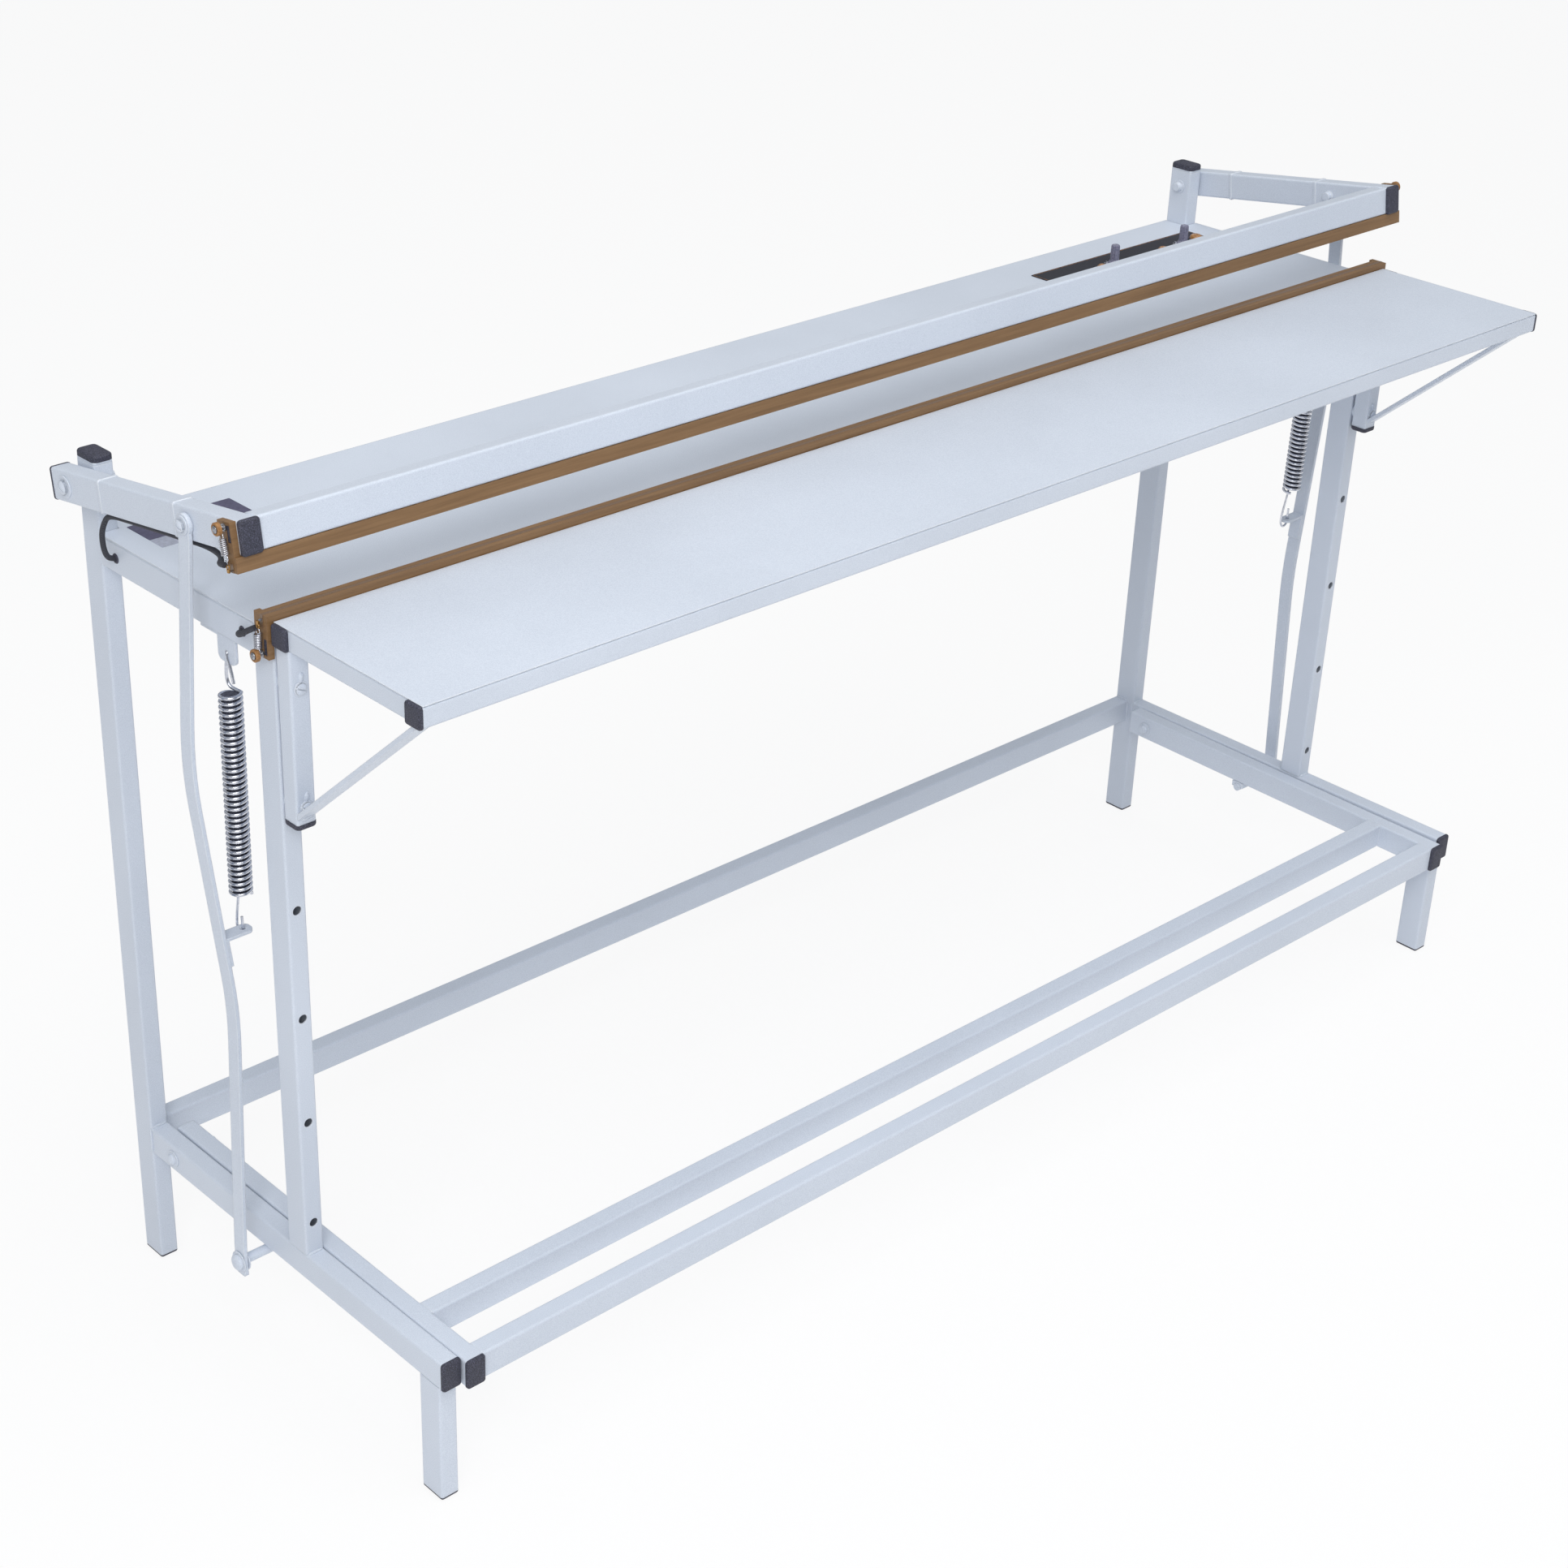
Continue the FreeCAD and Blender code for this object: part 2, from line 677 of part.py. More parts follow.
def arm():
    "Arm tube with two raised weld seams, and holes for its pivot and for the link's pin."
    x0 = arm_x0
    x1 = -arm_gap
    body = tube(x0, x1, -arm_front, arm_rear, arm_low, arm_high, 1)
    h = band_high
    seams = []
    for y in band_positions:
        ring = box(x0 - h, x1 + h, -y - band_wide / 2.0, -y + band_wide / 2.0, arm_low - h, arm_high + h)
        ring = ring.makeChamfer(tube_round * 0.6, edges_along(ring, 1))
        core = box(x0 + 0.5, x1 - 0.5, -y - band_wide, -y + band_wide, arm_low + 0.5, arm_high - 0.5)
        seams.append(ring.cut(core))
    body = joined([body] + seams)
    pivot = cylinder(pin_r + running_fit, tube_a + 6, V(x0 - 3, pivot_y, pivot_z), V(1, 0, 0))
    link = cylinder(pin_r + running_fit, tube_a + 6, V(x0 - 3, pivot_y - link_pin_reach, pivot_z), V(1, 0, 0))
    return body.cut(Part.makeCompound([pivot, link]))


def arm_caps():
    front = end_cap(arm_x0, -arm_gap, -arm_front, arm_rear, arm_low, arm_high, 1, -1, cap_thick)
    rear = end_cap(arm_x0, -arm_gap, -arm_front, arm_rear, arm_low, arm_high, 1, 1, arm_rear_cap)
    return [front, rear]


def crossbar():
    return tube(-arm_gap, width + arm_gap, -arm_front, -arm_front + tube_a, arm_low, arm_high, 0)


def upper_strip():
    "Laminate strip under the crossbar and the arms, out to the end blocks' outer faces."
    x0 = arm_x0 - end_block_thick
    strip = box(x0, width - x0, upper_y0, upper_y1, strip_low, arm_low)
    return strip.cut(groove(x0 - 1, width - x0 + 1, upper_mid, strip_low - 1, strip_low + heater_thick))


def upper_block():
    "End block on the strip's end, against the arm's outer face, slotted on its outer side."
    t = end_block_thick
    x1 = arm_x0
    y0 = -upper_block_front
    block = box(x1 - t, x1, y0, y0 + end_block_deep, arm_low, arm_high)
    slot = box(x1 - t - 1, x1 - t + slot_deep, y0 + 1.5, y0 + 1.5 + slot_wide,
               arm_high - 3.0 - slot_long, arm_high - 3.0)
    return block.cut(slot)


def arm_pivot_bolt():
    return through_bolt(arm_x0, tube_a, pivot_y, pivot_z)


def pivot_spacer():
    "Washer in the gap between arm and post."
    ring = rod(spacer_r, arm_gap, V(-arm_gap, pivot_y, pivot_z), V(1, 0, 0))
    return ring.cut(cylinder(pin_r + running_fit, arm_gap + 2, V(-arm_gap - 1, pivot_y, pivot_z), V(1, 0, 0)))


# Links, drawn upright below the upper pin at y = 0, z = 0

upper_pin = turned(pivot_y - link_pin_reach, pivot_z, -jaw_open_deg, pivot_y, pivot_z)
lower_pin = (pedal_pin_y, pedal_pin_z)
link_length = math.hypot(upper_pin[0] - lower_pin[0], upper_pin[1] - lower_pin[1])
link_tilt = math.degrees(math.atan2(upper_pin[0] - lower_pin[0], upper_pin[1] - lower_pin[1]))


def link_face(z, offset):
    "X of the link's outer face, moved in by the offset, at a height below the upper pin."
    for k in range(len(link_outer) - 1):
        x0, z0 = link_outer[k]
        x1, z1 = link_outer[k + 1]
        if z >= z1 or k == len(link_outer) - 2:
            return x0 + (x1 - x0) * (z - z0) / (z1 - z0) + offset
    return link_outer[-1][0] + offset


def bent_line(offset, radius_change):
    "One side of the bent bar as lines and arcs, from above the upper pin to below the lower one."
    points = []
    for x, z in link_outer:
        points.append(V(x + offset, 0, z))
    head = V(points[0].x, 0, link_eye_r + 2.0)
    tail = V(points[-1].x, 0, -link_length - link_end_below - 2.0)
    edges = []
    start = head
    chain = [head] + points + [tail]
    for k in range(1, len(chain) - 1):
        before = (chain[k] - chain[k - 1]).normalize()
        after = (chain[k + 1] - chain[k]).normalize()
        turn = math.acos(max(-1.0, min(1.0, before.dot(after))))
        side = before.cross(after).y
        arc_r = link_bow_radius if 1 < k < len(chain) - 2 else link_bow_radius / 8.0
        arc_r = arc_r + (radius_change if side > 0 else -radius_change)
        set_back = arc_r * math.tan(turn / 2.0)
        into = chain[k] - before * set_back
        out = chain[k] + after * set_back
        inward = (after - before).normalize()
        centre = chain[k] + inward * (arc_r / math.cos(turn / 2.0))
        edges.append(Part.LineSegment(start, into).toShape())
        edges.append(Part.Arc(into, centre - inward * arc_r, out).toShape())
        start = out
    edges.append(Part.LineSegment(start, tail).toShape())
    return edges, head, tail


def link():
    "Flat bar bent sideways twice, with its two pin holes and the spring tab."
    outer, head0, tail0 = bent_line(0.0, 0.0)
    inner, head1, tail1 = bent_line(link_thick, link_thick)
    ends = [Part.LineSegment(head0, head1).toShape(), Part.LineSegment(tail0, tail1).toShape()]
    wire = Part.Wire(Part.__sortEdges__(outer + inner + ends))
    half = link_wide / 2.0
    profile = Part.Face(wire)
    profile.translate(V(0, -link_eye_r, 0))
    body = profile.extrude(V(0, 2.0 * link_eye_r, 0))
    x0 = min(x for x, z in link_outer) - 5.0
    reach = link_thick + 50.0
    round_top = cylinder(link_eye_r, reach, V(x0, 0, 0), V(1, 0, 0))
    plate = box(x0, x0 + reach, -half, half, -link_length - link_end_below, 0)
    low = [e for e in edges_along(plate, 0) if e.CenterOfMass.z < -link_length]
    plate = plate.makeFillet(3.0, low)
    body = body.common(plate.fuse(round_top).removeSplitter())
    body = joined([body, link_tab()])
    top_hole = cylinder(pin_r + running_fit, reach, V(x0, 0, 0), V(1, 0, 0))
    low_hole = cylinder(pin_r + link_hole_play, reach - 22.0, V(x0, 0, -link_length), V(1, 0, 0))
    return body.cut(Part.makeCompound([top_hole, low_hole]))


def link_tab():
    "Angle tab on the link's inner side: a leg that follows the bar, and a shelf with the hook's hole."
    z = -link_tab_drop
    t = link_tab_thick
    half = link_wide / 2.0 - 0.5
    drop = z - link_tab_leg
    x_top = link_face(z, link_thick - 0.6)
    x_low = link_face(drop, link_thick - 0.6)
    outline = [V(x_top, 0, z), V(link_tab_reach, 0, z), V(link_tab_reach, 0, z - t),
               V(x_top + t + 0.6, 0, z - t), V(x_low + t + 0.6, 0, drop), V(x_low, 0, drop), V(x_top, 0, z)]
    face = Part.Face(Part.makePolygon(outline))
    face.translate(V(0, -half, 0))
    tab = face.extrude(V(0, 2.0 * half, 0))
    tip = [e for e in edges_along(tab, 2) if e.CenterOfMass.x > link_tab_reach - 0.1]
    tab = tab.makeFillet(half * 0.8, tip)
    hole = cylinder(spring_hole_r, t + 4, V(tab_hole_x, 0, z - t - 2), V(0, 0, 1))
    return tab.cut(hole)


def placed_link(shape):
    "Turn a piece of the link to its rest slope and move it to the upper pin."
    result = shape.copy()
    result.rotate(V(0, 0, 0), V(1, 0, 0), -link_tilt)
    result.translate(V(0, upper_pin[0], upper_pin[1]))
    return result


def link_bolt():
    "Upper pin: head and washer outside the link, washer to the arm, nut on the arm's inner side."
    x = link_outer[0][0]
    y = pivot_y - link_pin_reach
    bolt = through_bolt(x, -arm_gap, y, pivot_z)
    spacer = rod(washer_r - 1.0, arm_x0 - (x + link_thick), V(x + link_thick, y, pivot_z), V(1, 0, 0))
    return bolt.fuse(spacer).removeSplitter()


# Return springs

def return_spring():
    "Coil between two end hooks, from the frame's tab down to the link's tab."
    top = V(tab_hole_x, spring_top_y, spring_top_z)
    hole_y, hole_z = turned(0, -link_tab_drop - link_tab_thick / 2.0, -link_tilt, 0, 0)
    low = V(tab_hole_x, upper_pin[0] + hole_y, upper_pin[1] + hole_z)
    down = (low - top).normalize()
    length = spring_pitch * spring_turns
    start = top + down * (((low - top).Length - length) * 0.5)
    winding = coil(spring_r, spring_wire, spring_pitch, spring_turns, start, down, 4, 8)
    w = spring_wire / 2.0
    r = spring_r
    rise = w + spring_tab_thick / 2.0 + 0.2
    upper = wire_route([
        V(tab_hole_x + 2.2 * rise, spring_top_y, spring_top_z - 26.0),
        V(tab_hole_x + 2.0 * rise, spring_top_y, spring_top_z - 6.0),
        V(tab_hole_x + 1.2 * rise, spring_top_y, spring_top_z + 0.3),
        V(tab_hole_x - 1.2 * rise, spring_top_y, spring_top_z + 0.3),
        V(tab_hole_x - 2.0 * rise, spring_top_y, spring_top_z - 6.0),
        V(tab_hole_x - 1.8 * rise, spring_top_y + 0.5, spring_top_z - 24.0),
        V(start.x + 1.0, start.y, start.z + 4.0),
        V(start.x + r * 0.8, start.y, start.z + 0.5)], w * 0.9, "upper hook", 5, True)
    end = start + down * length
    lower = wire_route([
        V(end.x + r, end.y, end.z - 0.5),
        V(end.x + r + 0.3, end.y, end.z - 9.0),
        V(link_tab_reach + w + 0.7, low.y, low.z + 2.0),
        V(link_tab_reach + w + 0.2, low.y, low.z - 6.0),
        V(link_tab_reach - 4.0, low.y, low.z - 8.0),
        V(tab_hole_x, low.y, low.z - 5.0),
        V(tab_hole_x, low.y, low.z + 14.0)], w * 0.9, "lower hook", 5, True)
    return [winding, upper, lower]


# Pedal, drawn level

def pedal_frame():
    "Two side bars, two cross bars and the saddles of the link pins, welded."
    x0 = pedal_x0
    x1 = pedal_x0 + tube_a
    z0 = pedal_low
    z1 = pedal_low + tube_b
    side = tube(x0, x1, -pedal_front, -pedal_rear, z0, z1, 1)
    side = side.cut(cylinder(pin_r + running_fit, tube_a + 4, V(x0 - 2, pedal_pivot_y, pedal_pivot_z), V(1, 0, 0)))
    front = tube(x1, width - x1, -pedal_front, -pedal_front + tube_a, z0, z1, 0)
    rear = tube(x1, width - x1, -pedal_rear_bar - tube_a / 2.0, -pedal_rear_bar + tube_a / 2.0, z0, z1, 0)
    block = pedal_saddle()
    return joined([side, mirrored(side), front, rear, block, mirrored(block)])


def level_pin():
    "Where the link's lower pin is while the pedal is drawn level."
    return turned(pedal_pin_y, pedal_pin_z, -pedal_tilt_deg, pedal_pivot_y, pedal_pivot_z)


def pedal_saddle():
    "Half-bored block under the side bar, on the link's lower pin."
    y, z = level_pin()
    x0 = pedal_x0
    block = box(x0, x0 + tube_a, y - saddle_wide / 2.0, y + saddle_wide / 2.0, z, pedal_low)
    return block.cut(cylinder(pin_r + saddle_gap, tube_a + 4, V(x0 - 2, y, z), V(1, 0, 0)))


def pedal_pin():
    "Lower pin: from its head outside the link, under the rail, to the saddle."
    y, z = level_pin()
    x = link_outer[-1][0]
    head = x - 0.4
    inner = x + link_thick + 0.4
    pieces = [
        domed_head(head_r, head_high, V(head - washer_thick, y, z), V(-1, 0, 0)),
        rod(washer_r, washer_thick, V(head - washer_thick, y, z), V(1, 0, 0)),
        rod(washer_r, washer_thick, V(inner, y, z), V(1, 0, 0)),
        rod(pin_r, pedal_x0 + tube_a + 1.0 - head, V(head, y, z), V(1, 0, 0))]
    return joined(pieces)


def pedal_caps():
    x0 = pedal_x0
    cap = end_cap(x0, x0 + tube_a, -pedal_front, -pedal_rear, pedal_low, pedal_low + tube_b, 1, -1, cap_thick)
    return [cap, mirrored(cap)]


def pedal_bolt():
    "Pedal pivot: head outside the rail, a washer between rail and bar, nut inside the bar."
    bolt = through_bolt(0.0, pedal_x0 + tube_a, pedal_pivot_y, pedal_pivot_z)
    spacer = rod(spacer_r, pedal_gap, V(tube_a, pedal_pivot_y, pedal_pivot_z), V(1, 0, 0))
    return bolt.fuse(spacer).removeSplitter()


# Leads

arm_lead_start = (-25.0, 795.5)
lower_lead_start = (-226.5, 796.5)
inner_lead_y = -216.0
inner_lead_z = 850.0
lead_under_arm = arm_low - lead_r - lead_below_arm
clip_y = -58.0


def lower_lead():
    "Short sleeved lead from the side tube to the lower band's clip."
    y, z = lower_lead_start
    return wire_route([
        V(6.0, y, z), V(-3.5, y, z), V(-9.5, y - 8.0, z + 2.5), V(-12.5, y - 18.0, z + 7.5),
        V(-12.6, y - 28.0, z + 14.5),
        V(-end_block_thick - 4.8, lower_mid + 3.0 + lead_end_gap, lower_strip_top - clip_drop - 1.5)],
        lead_r, "lower lead")


def arm_lead():
    "Lead along the arm's underside to the upper band's clip, drawn closed."
    x = arm_x0 + tube_a / 2.0
    z = lead_under_arm
    t = end_block_thick
    return wire_route([
        V(x, clip_y, z), V(x, clip_y - 50.0, z), V(x - 0.5, clip_y - 100.0, z - 0.4),
        V(x + 0.2, clip_y - 140.0, z - 1.2), V(x - 3.0, clip_y - 164.0, z - 3.2),
        V(x - 11.0, clip_y - 179.0, z - 3.6), V(arm_x0 - t - 4.6, clip_y - 190.0, z - 2.6),
        V(arm_x0 - t - 5.0, upper_mid + 3.0 + lead_end_gap, z - 1.6)], lead_r, "arm lead")


def inner_lead_hole():
    "Hole in the right arm's outer wall, where the lead comes out of the tube."
    return cylinder(lead_r + lead_hole_gap, tube_wall + 4, V(arm_x0 - 2, inner_lead_y, inner_lead_z), V(1, 0, 0))


def inner_arm_lead():
    "End of the lead that runs inside the right arm, from the arm's hole to the upper band's clip, drawn closed."
    y = inner_lead_y
    z = inner_lead_z
    t = end_block_thick
    return wire_route([
        V(arm_x0 + 6.0, y, z), V(arm_x0 - 5.5, y, z), V(arm_x0 - 10.5, y - 10.0, z - 4.0),
        V(arm_x0 - 13.5, y - 24.0, z - 10.0),
        V(arm_x0 - t - 5.0, upper_mid + 3.0 + lead_end_gap, lead_under_arm - 1.6)], lead_r, "inner arm lead")


def lead_loop():
    "Loose loop from the side tube's hole up to the first clip under the open arm."
    y, z = arm_lead_start
    x = arm_x0 + tube_a / 2.0
    end_y, end_z = turned(clip_y, lead_under_arm, -jaw_open_deg, pivot_y, pivot_z)
    near_y, near_z = turned(clip_y + 20.0, lead_under_arm, -jaw_open_deg, pivot_y, pivot_z)
    return wire_route([
        V(6.0, y, z), V(-5.0, y, z), V(x, y - 2.0, z + 9.0), V(x - 1.5, y - 2.0, z + 27.0),
        V(x - 1.0, y - 7.0, z + 39.5), V(x, near_y, near_z), V(x, end_y, end_z)], lead_r, "lead loop")


# Control panel and box

def control_panel():
    "Black plate on the table, with the timer shafts' holes."
    plate = box(panel_left, panel_right, -panel_front, -panel_rear, table_top, table_top + panel_thick)
    return plate.cut(Part.makeCompound(panel_holes(table_top - 1, table_top + panel_thick + 1)))


def timer_knob(x):
    "Fluted knob with a collar, hollow over the timer's shaft."
    z0 = table_top + panel_thick + knob_lift
    valley_r = knob_r - flute_deep
    outline = []
    for k in range(flute_count):
        valley = 2.0 * math.pi * k / flute_count
        for part, radius in ((0.0, valley_r), (0.3, knob_r), (0.7, knob_r)):
            a = valley + part * 2.0 * math.pi / flute_count
            outline.append(V(x + radius * math.cos(a), knob_y + radius * math.sin(a), z0 + collar_high))
    outline.append(outline[0])
    body = Part.Face(Part.makePolygon(outline)).extrude(V(0, 0, knob_high - collar_high - crown_high))
    crown = turned_piece([(valley_r, 0.0), (valley_r - crown_high, crown_high)],
                         V(x, knob_y, z0 + knob_high - crown_high), V(0, 0, 1))
    collar = turned_piece([(collar_r, 0.0), (knob_r + 0.4, collar_high)], V(x, knob_y, z0), V(0, 0, 1), 24)
    knob = joined([body, crown, collar])
    bore = cylinder(shaft_r + knob_fit, knob_high - 4.0, V(x, knob_y, z0 - 1), V(0, 0, 1))
    return knob.cut(bore)


def lamp(x):
    "Signal lamp: domed lens above the panel, body below it."
    z = table_top + panel_thick
    lens = domed_head(lamp_r, lamp_high, V(x, knob_y, z), V(0, 0, 1))
    body = rod(lamp_r - 1.0, 22.0, V(x, knob_y, z - 21.5), V(0, 0, 1))
    return joined([lens, body])


def switch_body():
    "Round switch: ring on the panel and housing below it."
    z = table_top + panel_thick
    ring = rod(switch_r, switch_ring_high, V(switch_x, knob_y, z), V(0, 0, 1), 24)
    housing = rod(switch_r - 1.5, 24.0, V(switch_x, knob_y, z - 23.5), V(0, 0, 1))
    body = joined([ring, housing])
    well_deep = switch_ring_high + stem_deep + button_travel + 0.5
    well = cylinder(button_r + button_fit, well_deep + 1, V(switch_x, knob_y, z + switch_ring_high - well_deep),
                    V(0, 0, 1))
    return body.cut(well)


def switch_button():
    "Domed button in the switch's ring."
    z = table_top + panel_thick + switch_ring_high
    stem = rod(button_r, stem_deep + 0.5, V(switch_x, knob_y, z - stem_deep), V(0, 0, 1))
    cap = domed_head(button_r, button_high, V(switch_x, knob_y, z + 0.5), V(0, 0, 1))
    return joined([stem, cap])


def control_box():
    "Folded sheet tray under the table, flanged to its underside, with the cord's opening behind."
    z1 = frame_top
    z0 = z1 - box_deep
    t = box_sheet
    outer = box(box_left, box_right, -box_front, -box_rear, z0, z1)
    inner = box(box_left + t, box_right - t, -box_front + t, -box_rear - t, z0 + t, z1 + 1)
    tray = outer.cut(inner)
    f = box_flange
    rim = box(box_left, box_right, -box_front - f, -box_front, z1 - t, z1)
    hole = cylinder(gland_r, 10, V(box_left + gland_in, -box_rear - 5, z0 + gland_up), V(0, 1, 0))
    return joined([tray, rim]).cut(hole)


def cord_gland():
    "Gland for the mains cord in the box's rear wall."
    nut_thick = 3.9
    body_thick = 5.0
    dome_long = 10.0
    at = V(box_left + gland_in, -box_rear - box_sheet - nut_thick - 0.1, frame_top - box_deep + gland_up)
    d = V(0, 1, 0)
    neck = rod(gland_r - 0.1, box_sheet + nut_thick + 4.0, at, d)
    nut = hexagon_nut(gland_nut_r, nut_thick, at, d)
    body = hexagon_nut(gland_nut_r, body_thick, V(at.x, -box_rear, at.z), d)
    dome = turned_piece([(gland_r + 1.0, 0.0), (gland_r - 2.0, dome_long)],
                        V(at.x, -box_rear + body_thick - 0.5, at.z), d)
    gland = joined([neck, nut, body, dome])
    return gland.cut(cylinder(gland_bore, box_sheet + 4.0 * dome_long, V(at.x, at.y - 5, at.z), d))


def transformers():
    "Two transformers on the tray's floor: laminated core with a winding on its bobbin."
    z0 = frame_top - box_deep + box_sheet
    y_mid = -(box_front + box_rear) / 2.0 - transformer_front
    pair = []
    for x in (box_left + transformer_in, box_right - transformer_in):
        core = box(x - transformer_long / 2.0, x + transformer_long / 2.0, y_mid - core_half, y_mid + core_half,
                   z0 + foot_thick, z0 + transformer_high)
        winding = box(x - transformer_long * 0.3, x + transformer_long * 0.3, y_mid - transformer_deep / 2.0,
                      y_mid + transformer_deep / 2.0, z0 + transformer_high * 0.2, z0 + transformer_high * 0.84)
        foot = box(x - transformer_long / 2.0, x + transformer_long / 2.0, y_mid - transformer_foot,
                   y_mid + transformer_foot, z0, z0 + foot_thick)
        pair.append(joined([core, winding, foot]))
    return pair


def timer_board():
    "Circuit board carried by the two timer potentiometers under the table."
    z_board = table_top - board_drop
    board = box(knob_x[0] - board_half, knob_x[1] + pot_r, knob_y - board_half, knob_y + board_half,
                z_board - board_thick, z_board)
    pieces = [board]
    for x in knob_x:
        pieces.append(rod(pot_r, board_drop, V(x, knob_y, z_board), V(0, 0, 1)))
        shaft_top = table_top + panel_thick + knob_lift + knob_high - 6.0
        pieces.append(rod(shaft_r, shaft_top - z_board, V(x, knob_y, z_board), V(0, 0, 1)))
    body = joined(pieces)
    holes = []
    for x in lamp_x:
        holes.append(box(x - lamp_r, x + lamp_r, knob_y - lamp_r, knob_y + lamp_r, z_board - 5, z_board + 5))
    return body.cut(Part.makeCompound(holes))


# Every piece in its own named node

nodes = {}


def add(name, shapes):
    "Keep one or more solids under a name."
    if not isinstance(shapes, list):
        shapes = [shapes]
    nodes[name] = shapes


def add_pair(name, shapes):
    "The same piece at both ends, as two nodes."
    if not isinstance(shapes, list):
        shapes = [shapes]
    add("left_" + name, shapes)
    add("right_" + name, [mirrored(s) for s in shapes])


def both(shapes):
    "The pieces of the left end with their mirror images, for one node."
    if not isinstance(shapes, list):
        shapes = [shapes]
    return shapes + [mirrored(s) for s in shapes]


add("left_end_frame", end_frame([lower_lead_start, arm_lead_start]))
add("right_end_frame", mirrored(end_frame([lower_lead_start])))
add("rear_stretcher", cross_tube(tube_b - tube_a, tube_b, rail_low, rail_high))
add("table_front_tube", cross_tube(-front_post_front, -front_post_front + tube_b, frame_top - tube_a, frame_top))
add("table_rear_tube", cross_tube(0.0, tube_b, frame_top - tube_a, frame_top))
add("table_sheet", table_sheet())
add("post_caps", both(post_cap()))
add("rail_caps", both(rail_cap()))
add("feet", both(feet()))
add("shelf_frame", shelf_frame())
add("shelf_sheet", shelf_sheet())
add("shelf_caps", shelf_caps())
add_pair("shelf_bracket", shelf_bracket())
add("bracket_caps", both(bracket_cap()))
add("bracket_bolts", both(bracket_bolts()))

add("lower_jaw_strip", lower_strip())
add("lower_heater_band", heater_band(-end_block_thick, lower_mid, lower_strip_top,
                                     lower_strip_top - heater_thick, lower_strip_top - clip_drop - 1.0))
add_pair("lower_end_block", lower_block())
lower_tension = tension_set(-end_block_thick, lower_mid, lower_strip_top - clip_drop,
                            lower_mid + lower_screw_back, lower_strip_top - lower_screw_drop)
add_pair("lower_tension_spring", lower_tension[:1])
add("lower_terminals", both(lower_tension[1:]))

add("left_arm", opened(arm()))
add("right_arm", mirrored(opened(arm().cut(inner_lead_hole()))))
add("arm_caps", both([opened(cap) for cap in arm_caps()]))
add("crossbar", opened(crossbar()))
add("upper_jaw_strip", opened(upper_strip()))
upper_band = heater_band(arm_x0 - end_block_thick, upper_mid, strip_low, strip_low + heater_thick,
                         strip_low + upper_clip_rise + 1.0)
add("upper_heater_band", opened(upper_band))
add_pair("upper_end_block", opened(upper_block()))
upper_tension = tension_set(arm_x0 - end_block_thick, upper_mid, strip_low + upper_clip_rise,
                            upper_mid + upper_screw_back, arm_high - upper_screw_low)
add_pair("upper_tension_spring", [opened(s) for s in upper_tension[:1]])
add("upper_terminals", both([opened(s) for s in upper_tension[1:]]))
add("arm_pivot_bolts", both([arm_pivot_bolt(), pivot_spacer()]))
add("link_bolts", both(opened(link_bolt())))

add_pair("link", placed_link(link()))
add_pair("return_spring", return_spring())

add("pedal_frame", turn_shape(pedal_frame(), pedal_tilt_deg, pedal_pivot_y, pedal_pivot_z))
add("pedal_caps", [turn_shape(s, pedal_tilt_deg, pedal_pivot_y, pedal_pivot_z) for s in pedal_caps()])
add("pedal_pins", [turn_shape(s, pedal_tilt_deg, pedal_pivot_y, pedal_pivot_z) for s in both(pedal_pin())])
add("pedal_bolts", both(pedal_bolt()))

add_pair("lower_lead", lower_lead())
add("left_arm_lead", opened(arm_lead()))
add("right_arm_lead", mirrored(opened(inner_arm_lead())))
add("left_lead_loop", lead_loop())

add("control_panel", control_panel())
add("timer_knob_1", timer_knob(knob_x[0]))
add("timer_knob_2", timer_knob(knob_x[1]))
add("signal_lamps", [lamp(x) for x in lamp_x])
add("switch_body", switch_body())
add("switch_button", switch_button())
add("control_box", control_box())
add("cord_gland", cord_gland())
add("transformers", transformers())
add("timer_board", timer_board())

# The origin goes to the middle of the base.
front_edge = min(turned(-pedal_front - cap_thick, pedal_low, pedal_tilt_deg, pedal_pivot_y, pedal_pivot_z)[0],
                 turned(-pedal_front - cap_thick, pedal_low + tube_b, pedal_tilt_deg,
                        pedal_pivot_y, pedal_pivot_z)[0])
rear_edge = turned(arm_rear + arm_rear_cap, arm_high + cap_over - 1.0, -jaw_open_deg, pivot_y, pivot_z)[0]
shift = V(-width / 2.0, -(front_edge + rear_edge) / 2.0, 0.0)
print("shift", shift)
print("upper pin", upper_pin, "link length", link_length, "tilt", link_tilt)

os.makedirs("parts", exist_ok=True)
for name, shapes in nodes.items():
    moved = []
    for shape in shapes:
        for solid in shape.Solids:
            copy = solid.copy()
            copy.translate(shift)
            moved.append(copy)
    result = moved[0] if len(moved) == 1 else Part.makeCompound(moved)
    if not result.isValid():
        print("not valid:", name)
    result.exportStep("parts/" + name + ".step")
print(len(nodes), "nodes")
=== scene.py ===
import json
import math
import random

import bmesh
import bpy
from mathutils import Matrix, Vector


